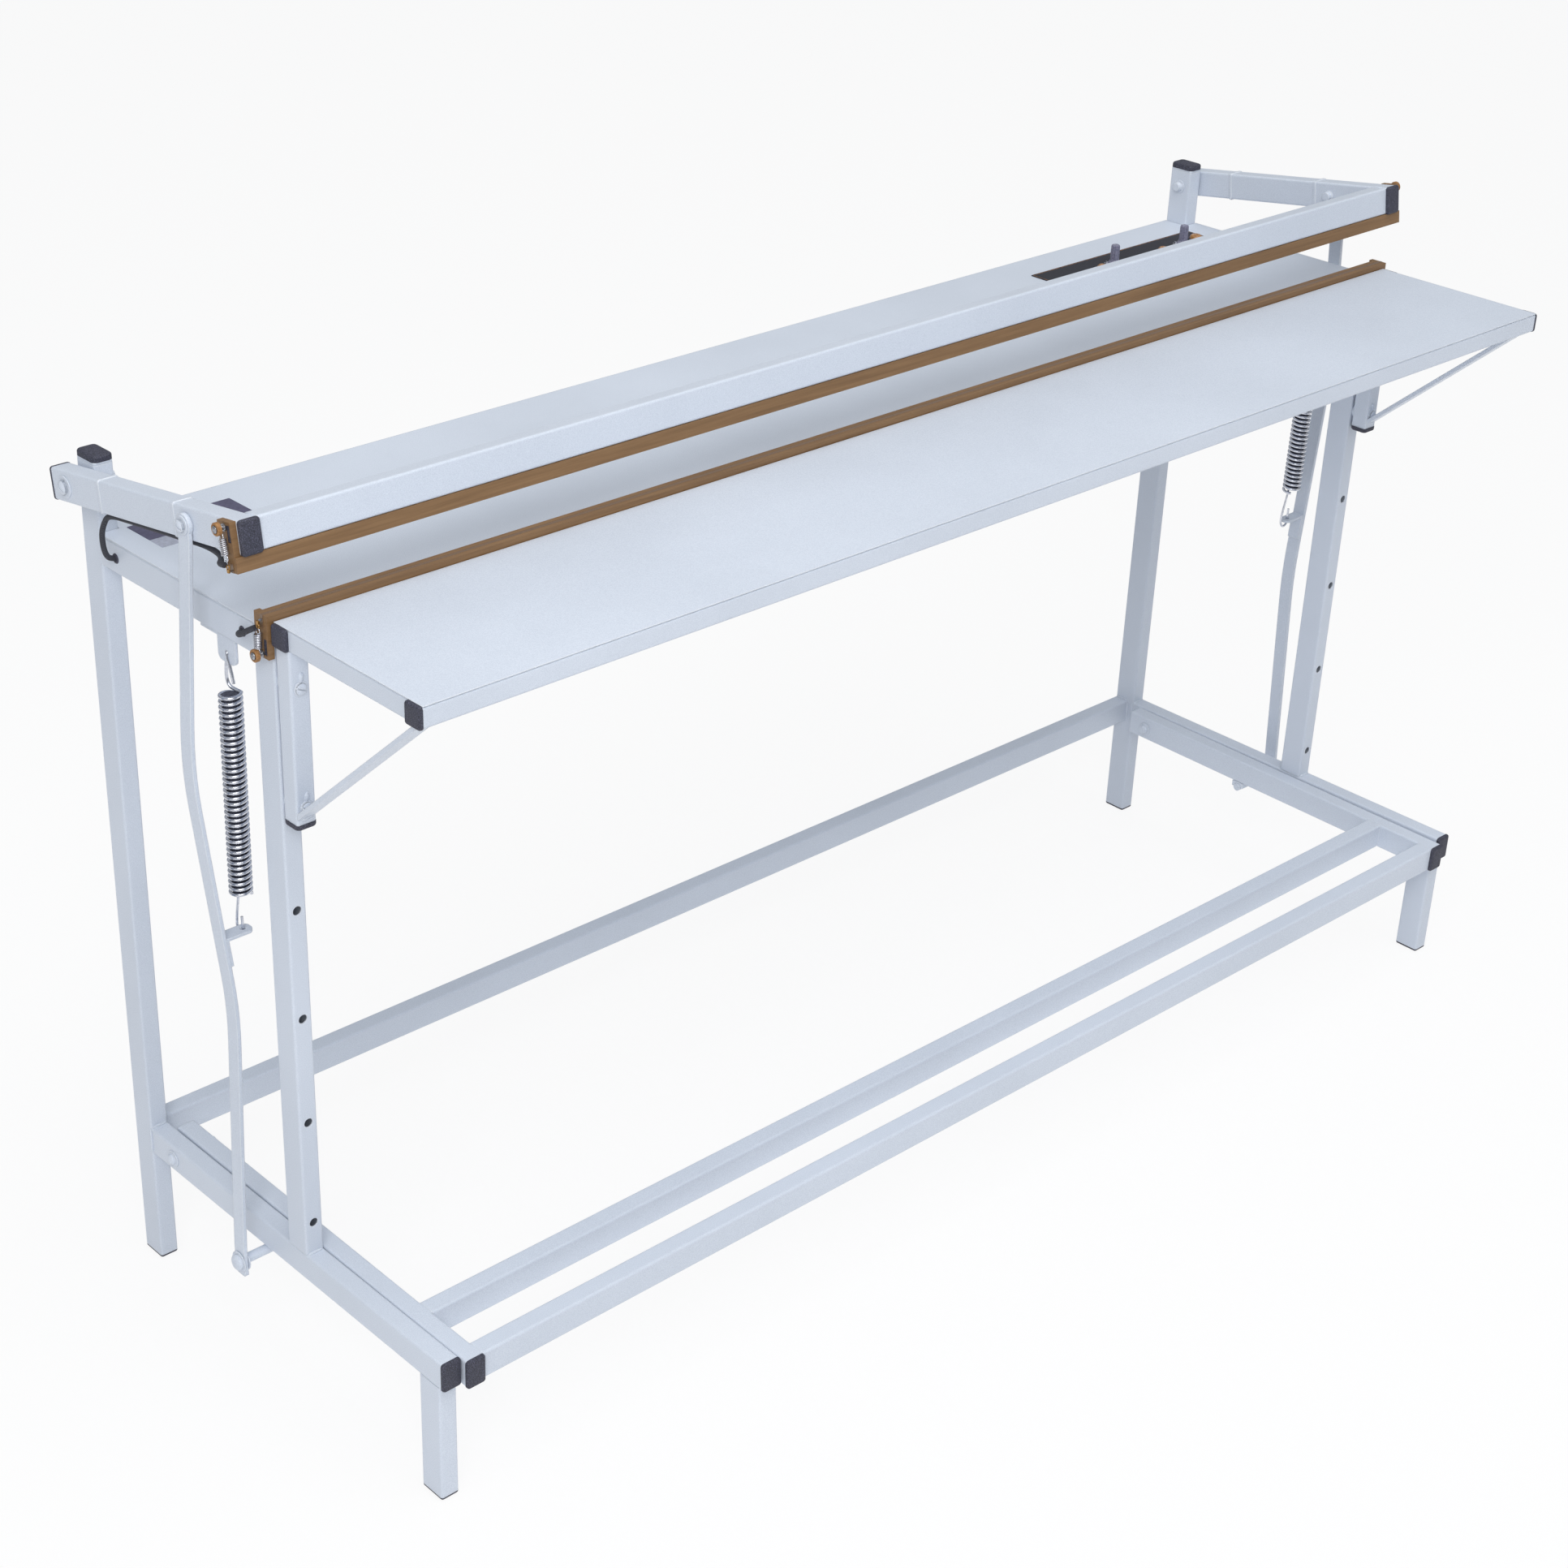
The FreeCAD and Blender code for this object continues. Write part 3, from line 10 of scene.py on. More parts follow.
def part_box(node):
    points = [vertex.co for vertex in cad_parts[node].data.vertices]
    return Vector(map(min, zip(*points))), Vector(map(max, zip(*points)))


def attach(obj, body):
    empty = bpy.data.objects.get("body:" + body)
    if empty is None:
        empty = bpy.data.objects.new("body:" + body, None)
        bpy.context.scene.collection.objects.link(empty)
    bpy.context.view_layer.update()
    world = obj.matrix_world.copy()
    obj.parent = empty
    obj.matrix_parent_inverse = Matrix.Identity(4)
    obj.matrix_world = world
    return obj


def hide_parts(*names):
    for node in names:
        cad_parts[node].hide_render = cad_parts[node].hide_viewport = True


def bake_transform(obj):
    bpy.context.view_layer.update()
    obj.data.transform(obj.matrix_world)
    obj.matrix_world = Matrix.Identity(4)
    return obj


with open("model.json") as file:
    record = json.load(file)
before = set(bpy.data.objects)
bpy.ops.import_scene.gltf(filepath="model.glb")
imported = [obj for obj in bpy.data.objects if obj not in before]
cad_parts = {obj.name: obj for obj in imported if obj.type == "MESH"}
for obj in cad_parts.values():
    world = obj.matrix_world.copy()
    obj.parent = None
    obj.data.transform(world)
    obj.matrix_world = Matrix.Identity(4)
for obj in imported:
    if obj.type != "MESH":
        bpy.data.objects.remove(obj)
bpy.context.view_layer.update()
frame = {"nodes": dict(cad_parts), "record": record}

# Sizes are in millimetres from the left posts' outer face, the back posts' front face and the floor,
# as in the drawing of the machine, and P() turns them into the frame's metres.
MM = 0.001
tube_a = 20.0
tube_b = 30.0
left_low, left_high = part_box("left_end_frame")
right_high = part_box("right_end_frame")[1]
left_x = left_low.x
back_y = left_high.y - tube_b * MM
width = (right_high.x - left_x) / MM
frame_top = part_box("table_front_tube")[1].z / MM
table_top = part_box("table_sheet")[1].z / MM

# Jaws
pivot_y = 15.0
pivot_z = 857.0
jaw_open_deg = 8.6
arm_front = 268.0
arm_rear = 36.0
arm_gap = 2.0
arm_low = pivot_z - tube_b / 2.0
arm_high = pivot_z + tube_b / 2.0
arm_x0 = -arm_gap - tube_a
link_pin_reach = 203.4
lower_strip_top = 828.0
lower_mid = -266.5
upper_mid = -261.0
strip_low = lower_strip_top + 0.35
clip_drop = 10.5
end_block_thick = 6.0

# Pedal, links and return springs
pedal_pivot_y = -40.0
pedal_pivot_z = 148.0
pedal_tilt_deg = 0.4
pedal_front = 488.0
pedal_x0 = 22.0
pedal_pin_y = -196.0
pedal_pin_z = 125.0
link_top_x = -27.0
link_low_x = -26.5
link_thick = 4.0
link_tab_drop = 402.0
tab_hole_x = 3.5
spring_top_y = -196.0
spring_top_z = 764.0
spring_od = 22.5
spring_wire = 3.4
spring_pitch = 5.5
spring_turns = 37

# Shelf and brackets
shelf_tube = 20.0
shelf_front = 480.0
shelf_back = 275.0
shelf_low = 801.5
bracket_bottom = 636.0
bracket_holes = (651.5, 765.0)
front_post_front = 272.0
cap_thick = 4.0
cap_over = 0.6
post_cap_high = 9.0
edge_round = 1.3
chip_start = 586.0
chip_end = 612.0
chip_seed = 5
post_collar = 2.8
bracket_cap_thick = 5.4
arm_rear_cap = 3.0
foot_height = 3.0

# Lower frame
post_top = 875.3
rail_low = 133.0
rail_high = 163.0
rail_front = 480.4
front_leg_y = 461.6

# Control panel
panel_low, panel_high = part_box("control_panel")
panel_top = panel_high.z / MM
panel_right = (panel_high.x - left_x) / MM
panel_left = (panel_low.x - left_x) / MM
knob_y = -48.0
knob_x = (panel_right - 171.0, panel_right - 46.0)
lamp_x = (panel_right - 191.5, panel_right - 82.0)
switch_x = panel_right - 22.0


def P(x, y, z):
    "A point of the drawing in the frame's metres."
    return Vector((left_x + x * MM, back_y + y * MM, z * MM))


def turned_about(deg, y, z):
    "A turn about an X axis through a point of the drawing."
    at = P(0, y, z)
    return Matrix.Translation(at) @ Matrix.Rotation(math.radians(deg), 4, "X") @ Matrix.Translation(-at)


STAY = Matrix.Identity(4)
OPEN = turned_about(-jaw_open_deg, pivot_y, pivot_z)
TILT = turned_about(pedal_tilt_deg, pedal_pivot_y, pedal_pivot_z)
MIRROR = (Matrix.Translation(P(width, 0, 0) - P(0, 0, 0) + 2.0 * Vector((left_x, 0, 0)))
          @ Matrix.Scale(-1, 4, (1, 0, 0)))
SIDES = (("left", STAY), ("right", MIRROR))


# Node helpers

def start_material(name):
    "An empty node material with its shader and output."
    material = bpy.data.materials.new(name)
    material.use_nodes = True
    tree = material.node_tree
    tree.nodes.clear()
    output = tree.nodes.new("ShaderNodeOutputMaterial")
    shader = tree.nodes.new("ShaderNodeBsdfPrincipled")
    tree.links.new(shader.outputs["BSDF"], output.inputs["Surface"])
    return material, tree, shader


def place(tree, stretch=(1.0, 1.0, 1.0)):
    "The object's own coordinates, stretched along its axes."
    coordinates = tree.nodes.new("ShaderNodeTexCoord")
    mapping = tree.nodes.new("ShaderNodeMapping")
    mapping.inputs["Scale"].default_value = stretch
    tree.links.new(coordinates.outputs["Object"], mapping.inputs["Vector"])
    return mapping.outputs["Vector"]


def noise(tree, where, scale, detail=3.0, roughness=0.55):
    node = tree.nodes.new("ShaderNodeTexNoise")
    node.inputs["Scale"].default_value = scale
    node.inputs["Detail"].default_value = detail
    node.inputs["Roughness"].default_value = roughness
    tree.links.new(where, node.inputs["Vector"])
    return node.outputs["Fac"]


def ramp(tree, factor, stops):
    "A colour ramp through (position, colour) stops."
    node = tree.nodes.new("ShaderNodeValToRGB")
    band = node.color_ramp
    while len(band.elements) < len(stops):
        band.elements.new(0.5)
    for element, (position, colour) in zip(band.elements, stops):
        element.position = position
        element.color = (*colour, 1.0)
    tree.links.new(factor, node.inputs["Fac"])
    return node.outputs["Color"]


def span(tree, factor, low, high):
    "A factor mapped to a range, such as a roughness."
    node = tree.nodes.new("ShaderNodeMapRange")
    node.inputs["To Min"].default_value = low
    node.inputs["To Max"].default_value = high
    tree.links.new(factor, node.inputs["Value"])
    return node.outputs["Result"]


def bump(tree, shader, height, strength, distance, below=None):
    node = tree.nodes.new("ShaderNodeBump")
    node.inputs["Strength"].default_value = strength
    node.inputs["Distance"].default_value = distance
    tree.links.new(height, node.inputs["Height"])
    if below is not None:
        tree.links.new(below, node.inputs["Normal"])
    tree.links.new(node.outputs["Normal"], shader.inputs["Normal"])
    return node.outputs["Normal"]


def multiplied(tree, first, second):
    "One colour multiplied by another."
    mix = tree.nodes.new("ShaderNodeMix")
    mix.data_type = "RGBA"
    mix.blend_type = "MULTIPLY"
    mix.inputs["Factor"].default_value = 1.0
    tree.links.new(first, mix.inputs["A"])
    tree.links.new(second, mix.inputs["B"])
    return mix.outputs["Result"]


def coat(tree, shader, colour, factor, rough_low, rough_high):
    "A colour, and a roughness that follows a factor between two values."
    tree.links.new(colour, shader.inputs["Base Color"])
    tree.links.new(span(tree, factor, rough_low, rough_high), shader.inputs["Roughness"])


def larger(tree, first, second):
    "The larger of two values."
    node = tree.nodes.new("ShaderNodeMath")
    node.operation = "MAXIMUM"
    tree.links.new(first, node.inputs[0])
    tree.links.new(second, node.inputs[1])
    return node.outputs[0]


def mix_shaders(tree, factor, first, second, output):
    "Two shaders mixed by a factor, as the output's surface."
    mix = tree.nodes.new("ShaderNodeMixShader")
    tree.links.new(factor, mix.inputs["Fac"])
    tree.links.new(first, mix.inputs[1])
    tree.links.new(second, mix.inputs[2])
    tree.links.new(mix.outputs["Shader"], output.inputs["Surface"])


def srgb(red, green, blue):
    "A colour as it looks on screen, 0 to 255, in linear values."
    values = []
    for part in (red, green, blue):
        c = part / 255.0
        values.append(c / 12.92 if c <= 0.04045 else ((c + 0.055) / 1.055) ** 2.4)
    return tuple(values)


# Materials

def white_paint():
    """Sprayed paint over steel tube: pale bluish white, with a painted highlight along edges, and a fine orange peel.
    """
    material, tree, shader = start_material("white_paint")
    where = place(tree)
    tone = noise(tree, where, 5.0, 4.0)
    colour = ramp(tree, tone, [(0.3, srgb(212, 219, 230)), (0.7, srgb(219, 226, 237))])
    grain = noise(tree, where, 1400.0, 2.0)
    speck = ramp(tree, grain, [(0.36, (0.85, 0.86, 0.88)), (0.6, (1.0, 1.0, 1.0))])
    rounded = tree.nodes.new("ShaderNodeBevel")
    rounded.samples = 6
    rounded.inputs["Radius"].default_value = edge_round * MM
    surface = tree.nodes.new("ShaderNodeNewGeometry")
    turn = tree.nodes.new("ShaderNodeVectorMath")
    turn.operation = "DOT_PRODUCT"
    tree.links.new(rounded.outputs["Normal"], turn.inputs[0])
    tree.links.new(surface.outputs["Normal"], turn.inputs[1])
    # Painted highlight: where the bevel normal turns away from the surface normal, along edges and in corners, the
    # colour is mixed towards near-white.
    edge_highlight = tree.nodes.new("ShaderNodeMapRange")
    edge_highlight.inputs["From Min"].default_value = 0.995
    edge_highlight.inputs["From Max"].default_value = 0.86
    edge_highlight.inputs["To Max"].default_value = 0.75
    tree.links.new(turn.outputs["Value"], edge_highlight.inputs["Value"])
    pale = tree.nodes.new("ShaderNodeMix")
    pale.data_type = "RGBA"
    pale.inputs["B"].default_value = (*srgb(243, 247, 252), 1.0)
    tree.links.new(edge_highlight.outputs["Result"], pale.inputs["Factor"])
    tree.links.new(multiplied(tree, colour, speck), pale.inputs["A"])
    coat(tree, shader, pale.outputs["Result"], tone, 0.3, 0.42)
    peel = noise(tree, where, 420.0, 3.0)
    bump(tree, shader, peel, 0.16, 0.0006, rounded.outputs["Normal"])
    shader.inputs["Specular IOR Level"].default_value = 0.45
    return material


def black_plastic():
    "Moulded caps: charcoal with a pitted grain and pale specks where it is scuffed."
    material, tree, shader = start_material("black_plastic")
    where = place(tree)
    scuff = noise(tree, where, 1000.0, 4.0, 0.75)
    colour = ramp(tree, scuff, [(0.34, srgb(34, 35, 45)), (0.5, srgb(56, 57, 70)), (0.6, srgb(80, 80, 98)),
                                (0.72, srgb(122, 121, 144))])
    coat(tree, shader, colour, scuff, 0.5, 0.75)
    bump(tree, shader, noise(tree, where, 900.0, 3.0), 0.5, 0.0008)
    return material


def laminate():
    "Brown pressed laminate with a fine grain along the jaw."
    material, tree, shader = start_material("laminate")
    grain = noise(tree, place(tree, (9.0, 260.0, 260.0)), 1.0, 6.0, 0.65)
    broad = noise(tree, place(tree, (3.0, 30.0, 30.0)), 1.0, 3.0)
    fine = ramp(tree, grain, [(0.25, srgb(116, 86, 54)), (0.5, srgb(132, 100, 66)), (0.75, srgb(146, 113, 77))])
    soft = ramp(tree, broad, [(0.3, (0.94, 0.94, 0.94)), (0.7, (1.04, 1.04, 1.04))])
    coat(tree, shader, multiplied(tree, fine, soft), grain, 0.45, 0.6)
    bump(tree, shader, grain, 0.15, 0.0004)
    return material


def metal(name, dark, light, rough_low, rough_high, scale, stretch=(1.0, 1.0, 1.0)):
    "Bare metal with faint streaks."
    material, tree, shader = start_material(name)
    streak = noise(tree, place(tree, stretch), scale, 4.0)
    coat(tree, shader, ramp(tree, streak, [(0.3, dark), (0.7, light)]), streak, rough_low, rough_high)
    bump(tree, shader, streak, 0.06, 0.0002)
    shader.inputs["Metallic"].default_value = 1.0
    return material


def plastic(name, dark, light, rough_low, rough_high, scale, gloss=0.0):
    "Plain moulded plastic with slight mottling."
    material, tree, shader = start_material(name)
    where = place(tree)
    mottle = noise(tree, where, scale, 3.0)
    coat(tree, shader, ramp(tree, mottle, [(0.35, dark), (0.65, light)]), mottle, rough_low, rough_high)
    bump(tree, shader, noise(tree, where, scale * 3.0, 2.0), 0.08, 0.0003)
    shader.inputs["Coat Weight"].default_value = gloss
    return material


def black_sleeve():
    "Woven sleeve on the leads: a fine diagonal weave in charcoal."
    material, tree, shader = start_material("black_sleeve")
    where = place(tree)
    weave = tree.nodes.new("ShaderNodeTexWave")
    weave.wave_type = "BANDS"
    weave.bands_direction = "DIAGONAL"
    weave.inputs["Scale"].default_value = 520.0
    weave.inputs["Distortion"].default_value = 3.0
    weave.inputs["Detail"].default_value = 2.0
    tree.links.new(where, weave.inputs["Vector"])
    colour = ramp(tree, weave.outputs["Fac"], [(0.2, srgb(34, 35, 42)), (0.8, srgb(70, 71, 80))])
    coat(tree, shader, colour, weave.outputs["Fac"], 0.6, 0.8)
    bump(tree, shader, weave.outputs["Fac"], 0.35, 0.0004)
    return material


def stage_material():
    "Floor that shows white to the camera and to reflections, and keeps a soft shadow."
    material, tree, shader = start_material("pale_floor")
    output = tree.nodes["Material Output"]
    tone = noise(tree, place(tree), 0.6, 2.0)
    colour = ramp(tree, tone, [(0.3, (0.91, 0.91, 0.92)), (0.7, (0.93, 0.93, 0.94))])
    tree.links.new(colour, shader.inputs["Base Color"])
    shader.inputs["Roughness"].default_value = 0.9
    glow = tree.nodes.new("ShaderNodeEmission")
    glow.inputs["Strength"].default_value = 1.0
    path = tree.nodes.new("ShaderNodeLightPath")
    seen = larger(tree, path.outputs["Is Camera Ray"], path.outputs["Is Glossy Ray"])
    share = tree.nodes.new("ShaderNodeMath")
    share.operation = "MULTIPLY"
    share.inputs[1].default_value = 0.88
    tree.links.new(larger(tree, seen, path.outputs["Is Transmission Ray"]), share.inputs[0])
    mix_shaders(tree, share.outputs[0], shader.outputs["BSDF"], glow.outputs["Emission"], output)
    return material


WHITE = white_paint()
CAP = black_plastic()
LAMINATE = laminate()
STEEL = metal("spring_steel", srgb(196, 199, 208), srgb(228, 230, 238), 0.14, 0.22, 260.0)
# Dark grey for the rod inside each coil: painted shade for the coil's shaded inside, not a real part.
SHADE_CORE = plastic("painted_shade_core", srgb(58, 60, 72), srgb(88, 90, 104), 0.6, 0.75, 400.0)
SCREW = metal("screw_steel", srgb(150, 152, 158), srgb(190, 192, 198), 0.25, 0.4, 500.0)
BRASS = metal("brass", srgb(150, 112, 62), srgb(186, 146, 92), 0.3, 0.45, 400.0)
BUSH = plastic("fibre_bush", srgb(140, 98, 54), srgb(168, 122, 74), 0.45, 0.6, 400.0)
SLEEVE = black_sleeve()
PANEL = plastic("panel_black", srgb(20, 21, 29), srgb(44, 45, 56), 0.55, 0.7, 900.0)
KNOB = plastic("knob_grey", srgb(104, 104, 126), srgb(138, 138, 160), 0.3, 0.45, 500.0, 0.2)
AMBER = plastic("amber", srgb(146, 98, 50), srgb(178, 128, 72), 0.2, 0.35, 300.0, 0.5)
AMBER_LINE = plastic("amber_line", srgb(64, 46, 34), srgb(196, 132, 70), 0.5, 0.6, 420.0)
CLOTH = plastic("release_cloth", srgb(104, 80, 58), srgb(128, 100, 74), 0.3, 0.42, 1100.0, 0.15)
COLLAR = plastic("pale_collar", srgb(150, 151, 168), srgb(190, 191, 206), 0.3, 0.45, 500.0, 0.2)
CHIPPED = plastic("bare_edge", srgb(52, 44, 42), srgb(112, 92, 78), 0.6, 0.8, 900.0)
TICK = plastic("dial_marks", srgb(196, 198, 208), srgb(222, 224, 232), 0.5, 0.6, 800.0)
LABEL_DARK = plastic("label_dark", srgb(72, 70, 96), srgb(88, 86, 112), 0.4, 0.5, 300.0)
LABEL_GREY = plastic("label_grey", srgb(160, 164, 180), srgb(178, 182, 198), 0.4, 0.5, 300.0)
BOARD = plastic("board_green", srgb(30, 76, 52), srgb(44, 96, 66), 0.5, 0.6, 500.0)
CORE = metal("core_steel", srgb(120, 120, 122), srgb(150, 150, 152), 0.4, 0.6, 300.0, (1.0, 30.0, 1.0))
SLOT_MATERIALS = {"white_paint": WHITE, "black_plastic": CAP, "laminate": LAMINATE, "heater_steel": CLOTH,
                  "spring_steel": STEEL, "brass": BRASS, "black_sleeve": SLEEVE, "panel_black": PANEL,
                  "knob_grey": KNOB, "amber": AMBER, "board_green": BOARD, "core_steel": CORE}


def dress_cad():
    "Each CAD node takes the material of its slot in the record."
    slots = {}
    for row in frame["record"]["subparts"]:
        slots[row["node"]] = row["material_slot"]
    for name, node in frame["nodes"].items():
        chosen = SLOT_MATERIALS[slots[name]]
        if not node.material_slots:
            node.data.materials.append(chosen)
        for slot in node.material_slots:
            slot.material = chosen


# Mesh helpers

def added(whole, part, matrix=STAY, index=0):
    "Move a part by a matrix, give it a material index and add it to the whole."
    part.transform(matrix)
    if matrix.determinant() < 0:
        bmesh.ops.reverse_faces(part, faces=part.faces[:])
    for face in part.faces:
        face.material_index = index
    mesh = bpy.data.meshes.new("part")
    part.to_mesh(mesh)
    part.free()
    whole.from_mesh(mesh)
    bpy.data.meshes.remove(mesh)


def object_of(name, data):
    "A new object, linked to the scene."
    made = bpy.data.objects.new(name, data)
    bpy.context.collection.objects.link(made)
    return made


def piece_of(name, whole, materials, body, stands_for=(), sharp_deg=32.0):
    "A piece from a mesh under construction, riding on its body."
    mesh = bpy.data.meshes.new(name)
    whole.to_mesh(mesh)
    whole.free()
    for material in materials:
        mesh.materials.append(material)
    for polygon in mesh.polygons:
        polygon.use_smooth = True
    mesh.set_sharp_from_angle(angle=math.radians(sharp_deg))
    piece = object_of(name, mesh)
    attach(piece, body)
    if stands_for:
        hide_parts(*stands_for)
    return piece


def block(low, high, axis, side, corner, rim):
    "A box with rounded edges along one axis and a rounder rim at its outer end."
    part = bmesh.new()
    bmesh.ops.create_cube(part, size=1.0)
    size = high - low
    bmesh.ops.scale(part, vec=size, verts=part.verts[:])
    bmesh.ops.translate(part, vec=(low + high) / 2.0, verts=part.verts[:])
    along = []
    for edge in part.edges:
        if abs((edge.verts[0].co - edge.verts[1].co)[axis]) > 0.5 * size[axis]:
            along.append(edge)
    bmesh.ops.bevel(part, geom=along, offset=corner * MM, segments=5, affect="EDGES", profile=0.5)
    for end in ((high[axis],) if side > 0 else (low[axis],) if side < 0 else (low[axis], high[axis])):
        edges = [e for e in part.edges if all(abs(v.co[axis] - end) < 1e-7 for v in e.verts)]
        bmesh.ops.bevel(part, geom=edges, offset=rim * MM, segments=4, affect="EDGES", profile=0.5)
    return part


def drawn_block(x0, x1, y0, y1, z0, z1, axis, side, corner, rim):
    return block(P(x0, y0, z0), P(x1, y1, z1), axis, side, corner, rim)


def ring_at(part, point, first, second, radius, count):
    "A ring of vertices round a point, in the plane of two directions, with its radius in metres."
    ring = []
    for k in range(count):
        a = 2.0 * math.pi * k / count
        ring.append(part.verts.new(point + (first * math.cos(a) + second * math.sin(a)) * radius))
    return ring


def skinned(part, rings):
    "Faces between rings of one size, closed at both ends."
    count = len(rings[0])
    for lower, upper in zip(rings, rings[1:]):
        for k in range(count):
            n = (k + 1) % count
            part.faces.new((lower[k], lower[n], upper[n], upper[k]))
    part.faces.new(rings[0][::-1])
    part.faces.new(rings[-1])
    bmesh.ops.recalc_face_normals(part, faces=part.faces[:])
    return part


def lathe(profile, at, direction, segments=36):
    "A turned part through (radius, height) points in millimetres, along a direction."
    part = bmesh.new()
    rings = []
    for radius, height in profile:
        centre = Vector((0, 0, height * MM))
        if radius < 1e-6:
            rings.append([part.verts.new(centre)])
        else:
            rings.append(ring_at(part, centre, Vector((1, 0, 0)), Vector((0, 1, 0)), radius * MM, segments))
    for lower, upper in zip(rings, rings[1:]):
        for k in range(segments):
            n = (k + 1) % segments
            if len(lower) == 1 and len(upper) > 1:
                part.faces.new((lower[0], upper[n], upper[k]))
            elif len(upper) == 1 and len(lower) > 1:
                part.faces.new((lower[k], lower[n], upper[0]))
            elif len(lower) > 1:
                part.faces.new((lower[k], lower[n], upper[n], upper[k]))
    bmesh.ops.recalc_face_normals(part, faces=part.faces[:])
    part.transform(Matrix.Translation(at) @ direction.to_track_quat("Z", "Y").to_matrix().to_4x4())
    return part


def swept(points, radius, sides=10):
    "A round wire of a radius in millimetres along points."
    part = bmesh.new()
    normal = None
    rings = []
    for k, point in enumerate(points):
        ahead = points[min(k + 1, len(points) - 1)] - points[max(k - 1, 0)]
        ahead.normalize()
        if normal is None:
            normal = ahead.orthogonal().normalized()
        normal = (normal - ahead * normal.dot(ahead)).normalized()
        rings.append(ring_at(part, point, normal, ahead.cross(normal), radius * MM, sides))
    return skinned(part, rings)


def smooth_line(points, per_run=8):
    "Points on a smooth curve through the given ones."
    line = []
    last = len(points) - 1
    for k in range(last):
        p0 = points[max(k - 1, 0)]
        p1 = points[k]
        p2 = points[k + 1]
        p3 = points[min(k + 2, last)]
        for s in range(per_run):
            t = s / per_run
            line.append(0.5 * ((2.0 * p1) + (p2 - p0) * t + (2.0 * p0 - 5.0 * p1 + 4.0 * p2 - p3) * t * t
                               + (3.0 * p1 - 3.0 * p2 + p3 - p0) * t * t * t))
    line.append(points[-1])
    return line


def coil_line(start, axis, radius, pitch, turns, steps, phase=0.0):
    "Points of a helix, in metres, from the start of its first turn."
    side = Vector((1, 0, 0))
    side = (side - axis * side.dot(axis)).normalized()
    other = axis.cross(side)
    line = []
    for k in range(turns * steps + 1):
        a = 2.0 * math.pi * k / steps + phase
        along = pitch * MM * k / steps
        line.append(start + axis * along + (side * math.cos(a) + other * math.sin(a)) * radius * MM)
    return line


def dome(radius, start, rise, steps=6):
    "Profile points of a dome from above its rim to its crown."
    points = []
    for k in range(1, steps):
        a = 0.5 * math.pi * k / steps
        points.append((radius * math.cos(a), start + rise * math.sin(a)))
    return points + [(0.0, start + rise)]


def pan_head(radius, height, at, direction):
    "A domed screw head with its flat face at the given point."
    profile = [(0.0, 0.0), (radius * 0.97, 0.0), (radius, 0.15 * height), (radius, 0.35 * height)]
    return lathe(profile + dome(radius, 0.35 * height, 0.65 * height), at, direction)


def washer(radius, thick, at, direction):
    edge = min(0.3, thick * 0.3)
    return lathe([(0.0, 0.0), (radius - edge, 0.0), (radius, edge), (radius, thick - edge), (radius - edge, thick),
                  (0.0, thick)], at, direction)


def rod(radius, length, at, direction):
    edge = min(0.4, radius * 0.2)
    return lathe([(0.0, 0.0), (radius, 0.0), (radius, length - edge), (radius - edge, length), (0.0, length)],
                 at, direction, 24)


def clipped_head(radius, height, planes):
    "A domed head standing on the origin, cut off behind each plane."
    part = pan_head(radius, height, Vector((0, 0, 0)), Vector((0, 0, 1)))
    for at, normal in planes:
        bmesh.ops.bisect_plane(part, geom=part.verts[:] + part.edges[:] + part.faces[:], plane_co=at * MM,
                               plane_no=normal, clear_inner=True)
        bmesh.ops.holes_fill(part, edges=[edge for edge in part.edges if edge.is_boundary])
    return part


def slotted_head(radius, height, at, direction, angle, wide, deep, cross=False):
    "A domed head with a screwdriver slot, or a cross, turned by angle about its axis."
    head = bmesh.new()
    added(head, clipped_head(radius, height, [(Vector((0, 0, height - deep)), Vector((0, 0, -1)))]))
    for up in (-1, 1):
        beyond = (Vector((0, up * wide / 2, 0)), Vector((0, up, 0)))
        if cross:
            for along in (-1, 1):
                aside = (Vector((along * wide / 2, 0, 0)), Vector((along, 0, 0)))
                added(head, clipped_head(radius, height, [beyond, aside]))
        else:
            added(head, clipped_head(radius, height, [beyond]))
    turn = direction.to_track_quat("Z", "X").to_matrix().to_4x4() @ Matrix.Rotation(math.radians(angle), 4, "Z")
    head.transform(Matrix.Translation(at) @ turn)
    return head


# Plastic caps

def cap_plate(x0, x1, y0, y1, z0, z1, axis, side, over=cap_over, corner=3.2):
    "A cap's plate with rounded corners and a wide soft rim."
    low = [x0 - over, y0 - over, z0 - over]
    high = [x1 + over, y1 + over, z1 + over]
    low[axis] = (x0, y0, z0)[axis]
    high[axis] = (x1, y1, z1)[axis]
    rim = min(2.6, 0.7 * (high[axis] - low[axis]))
    return block(P(*low), P(*high), axis, side, corner, rim)


def cap_set(name, body, node, matrix, *plates):
    "A piece of caps on both sides, in place of the plain ones."
    whole = bmesh.new()
    for label, side in SIDES:
        for plate in plates:
            added(whole, cap_plate(*plate), side @ matrix)
    piece_of(name, whole, [CAP], body, [node])


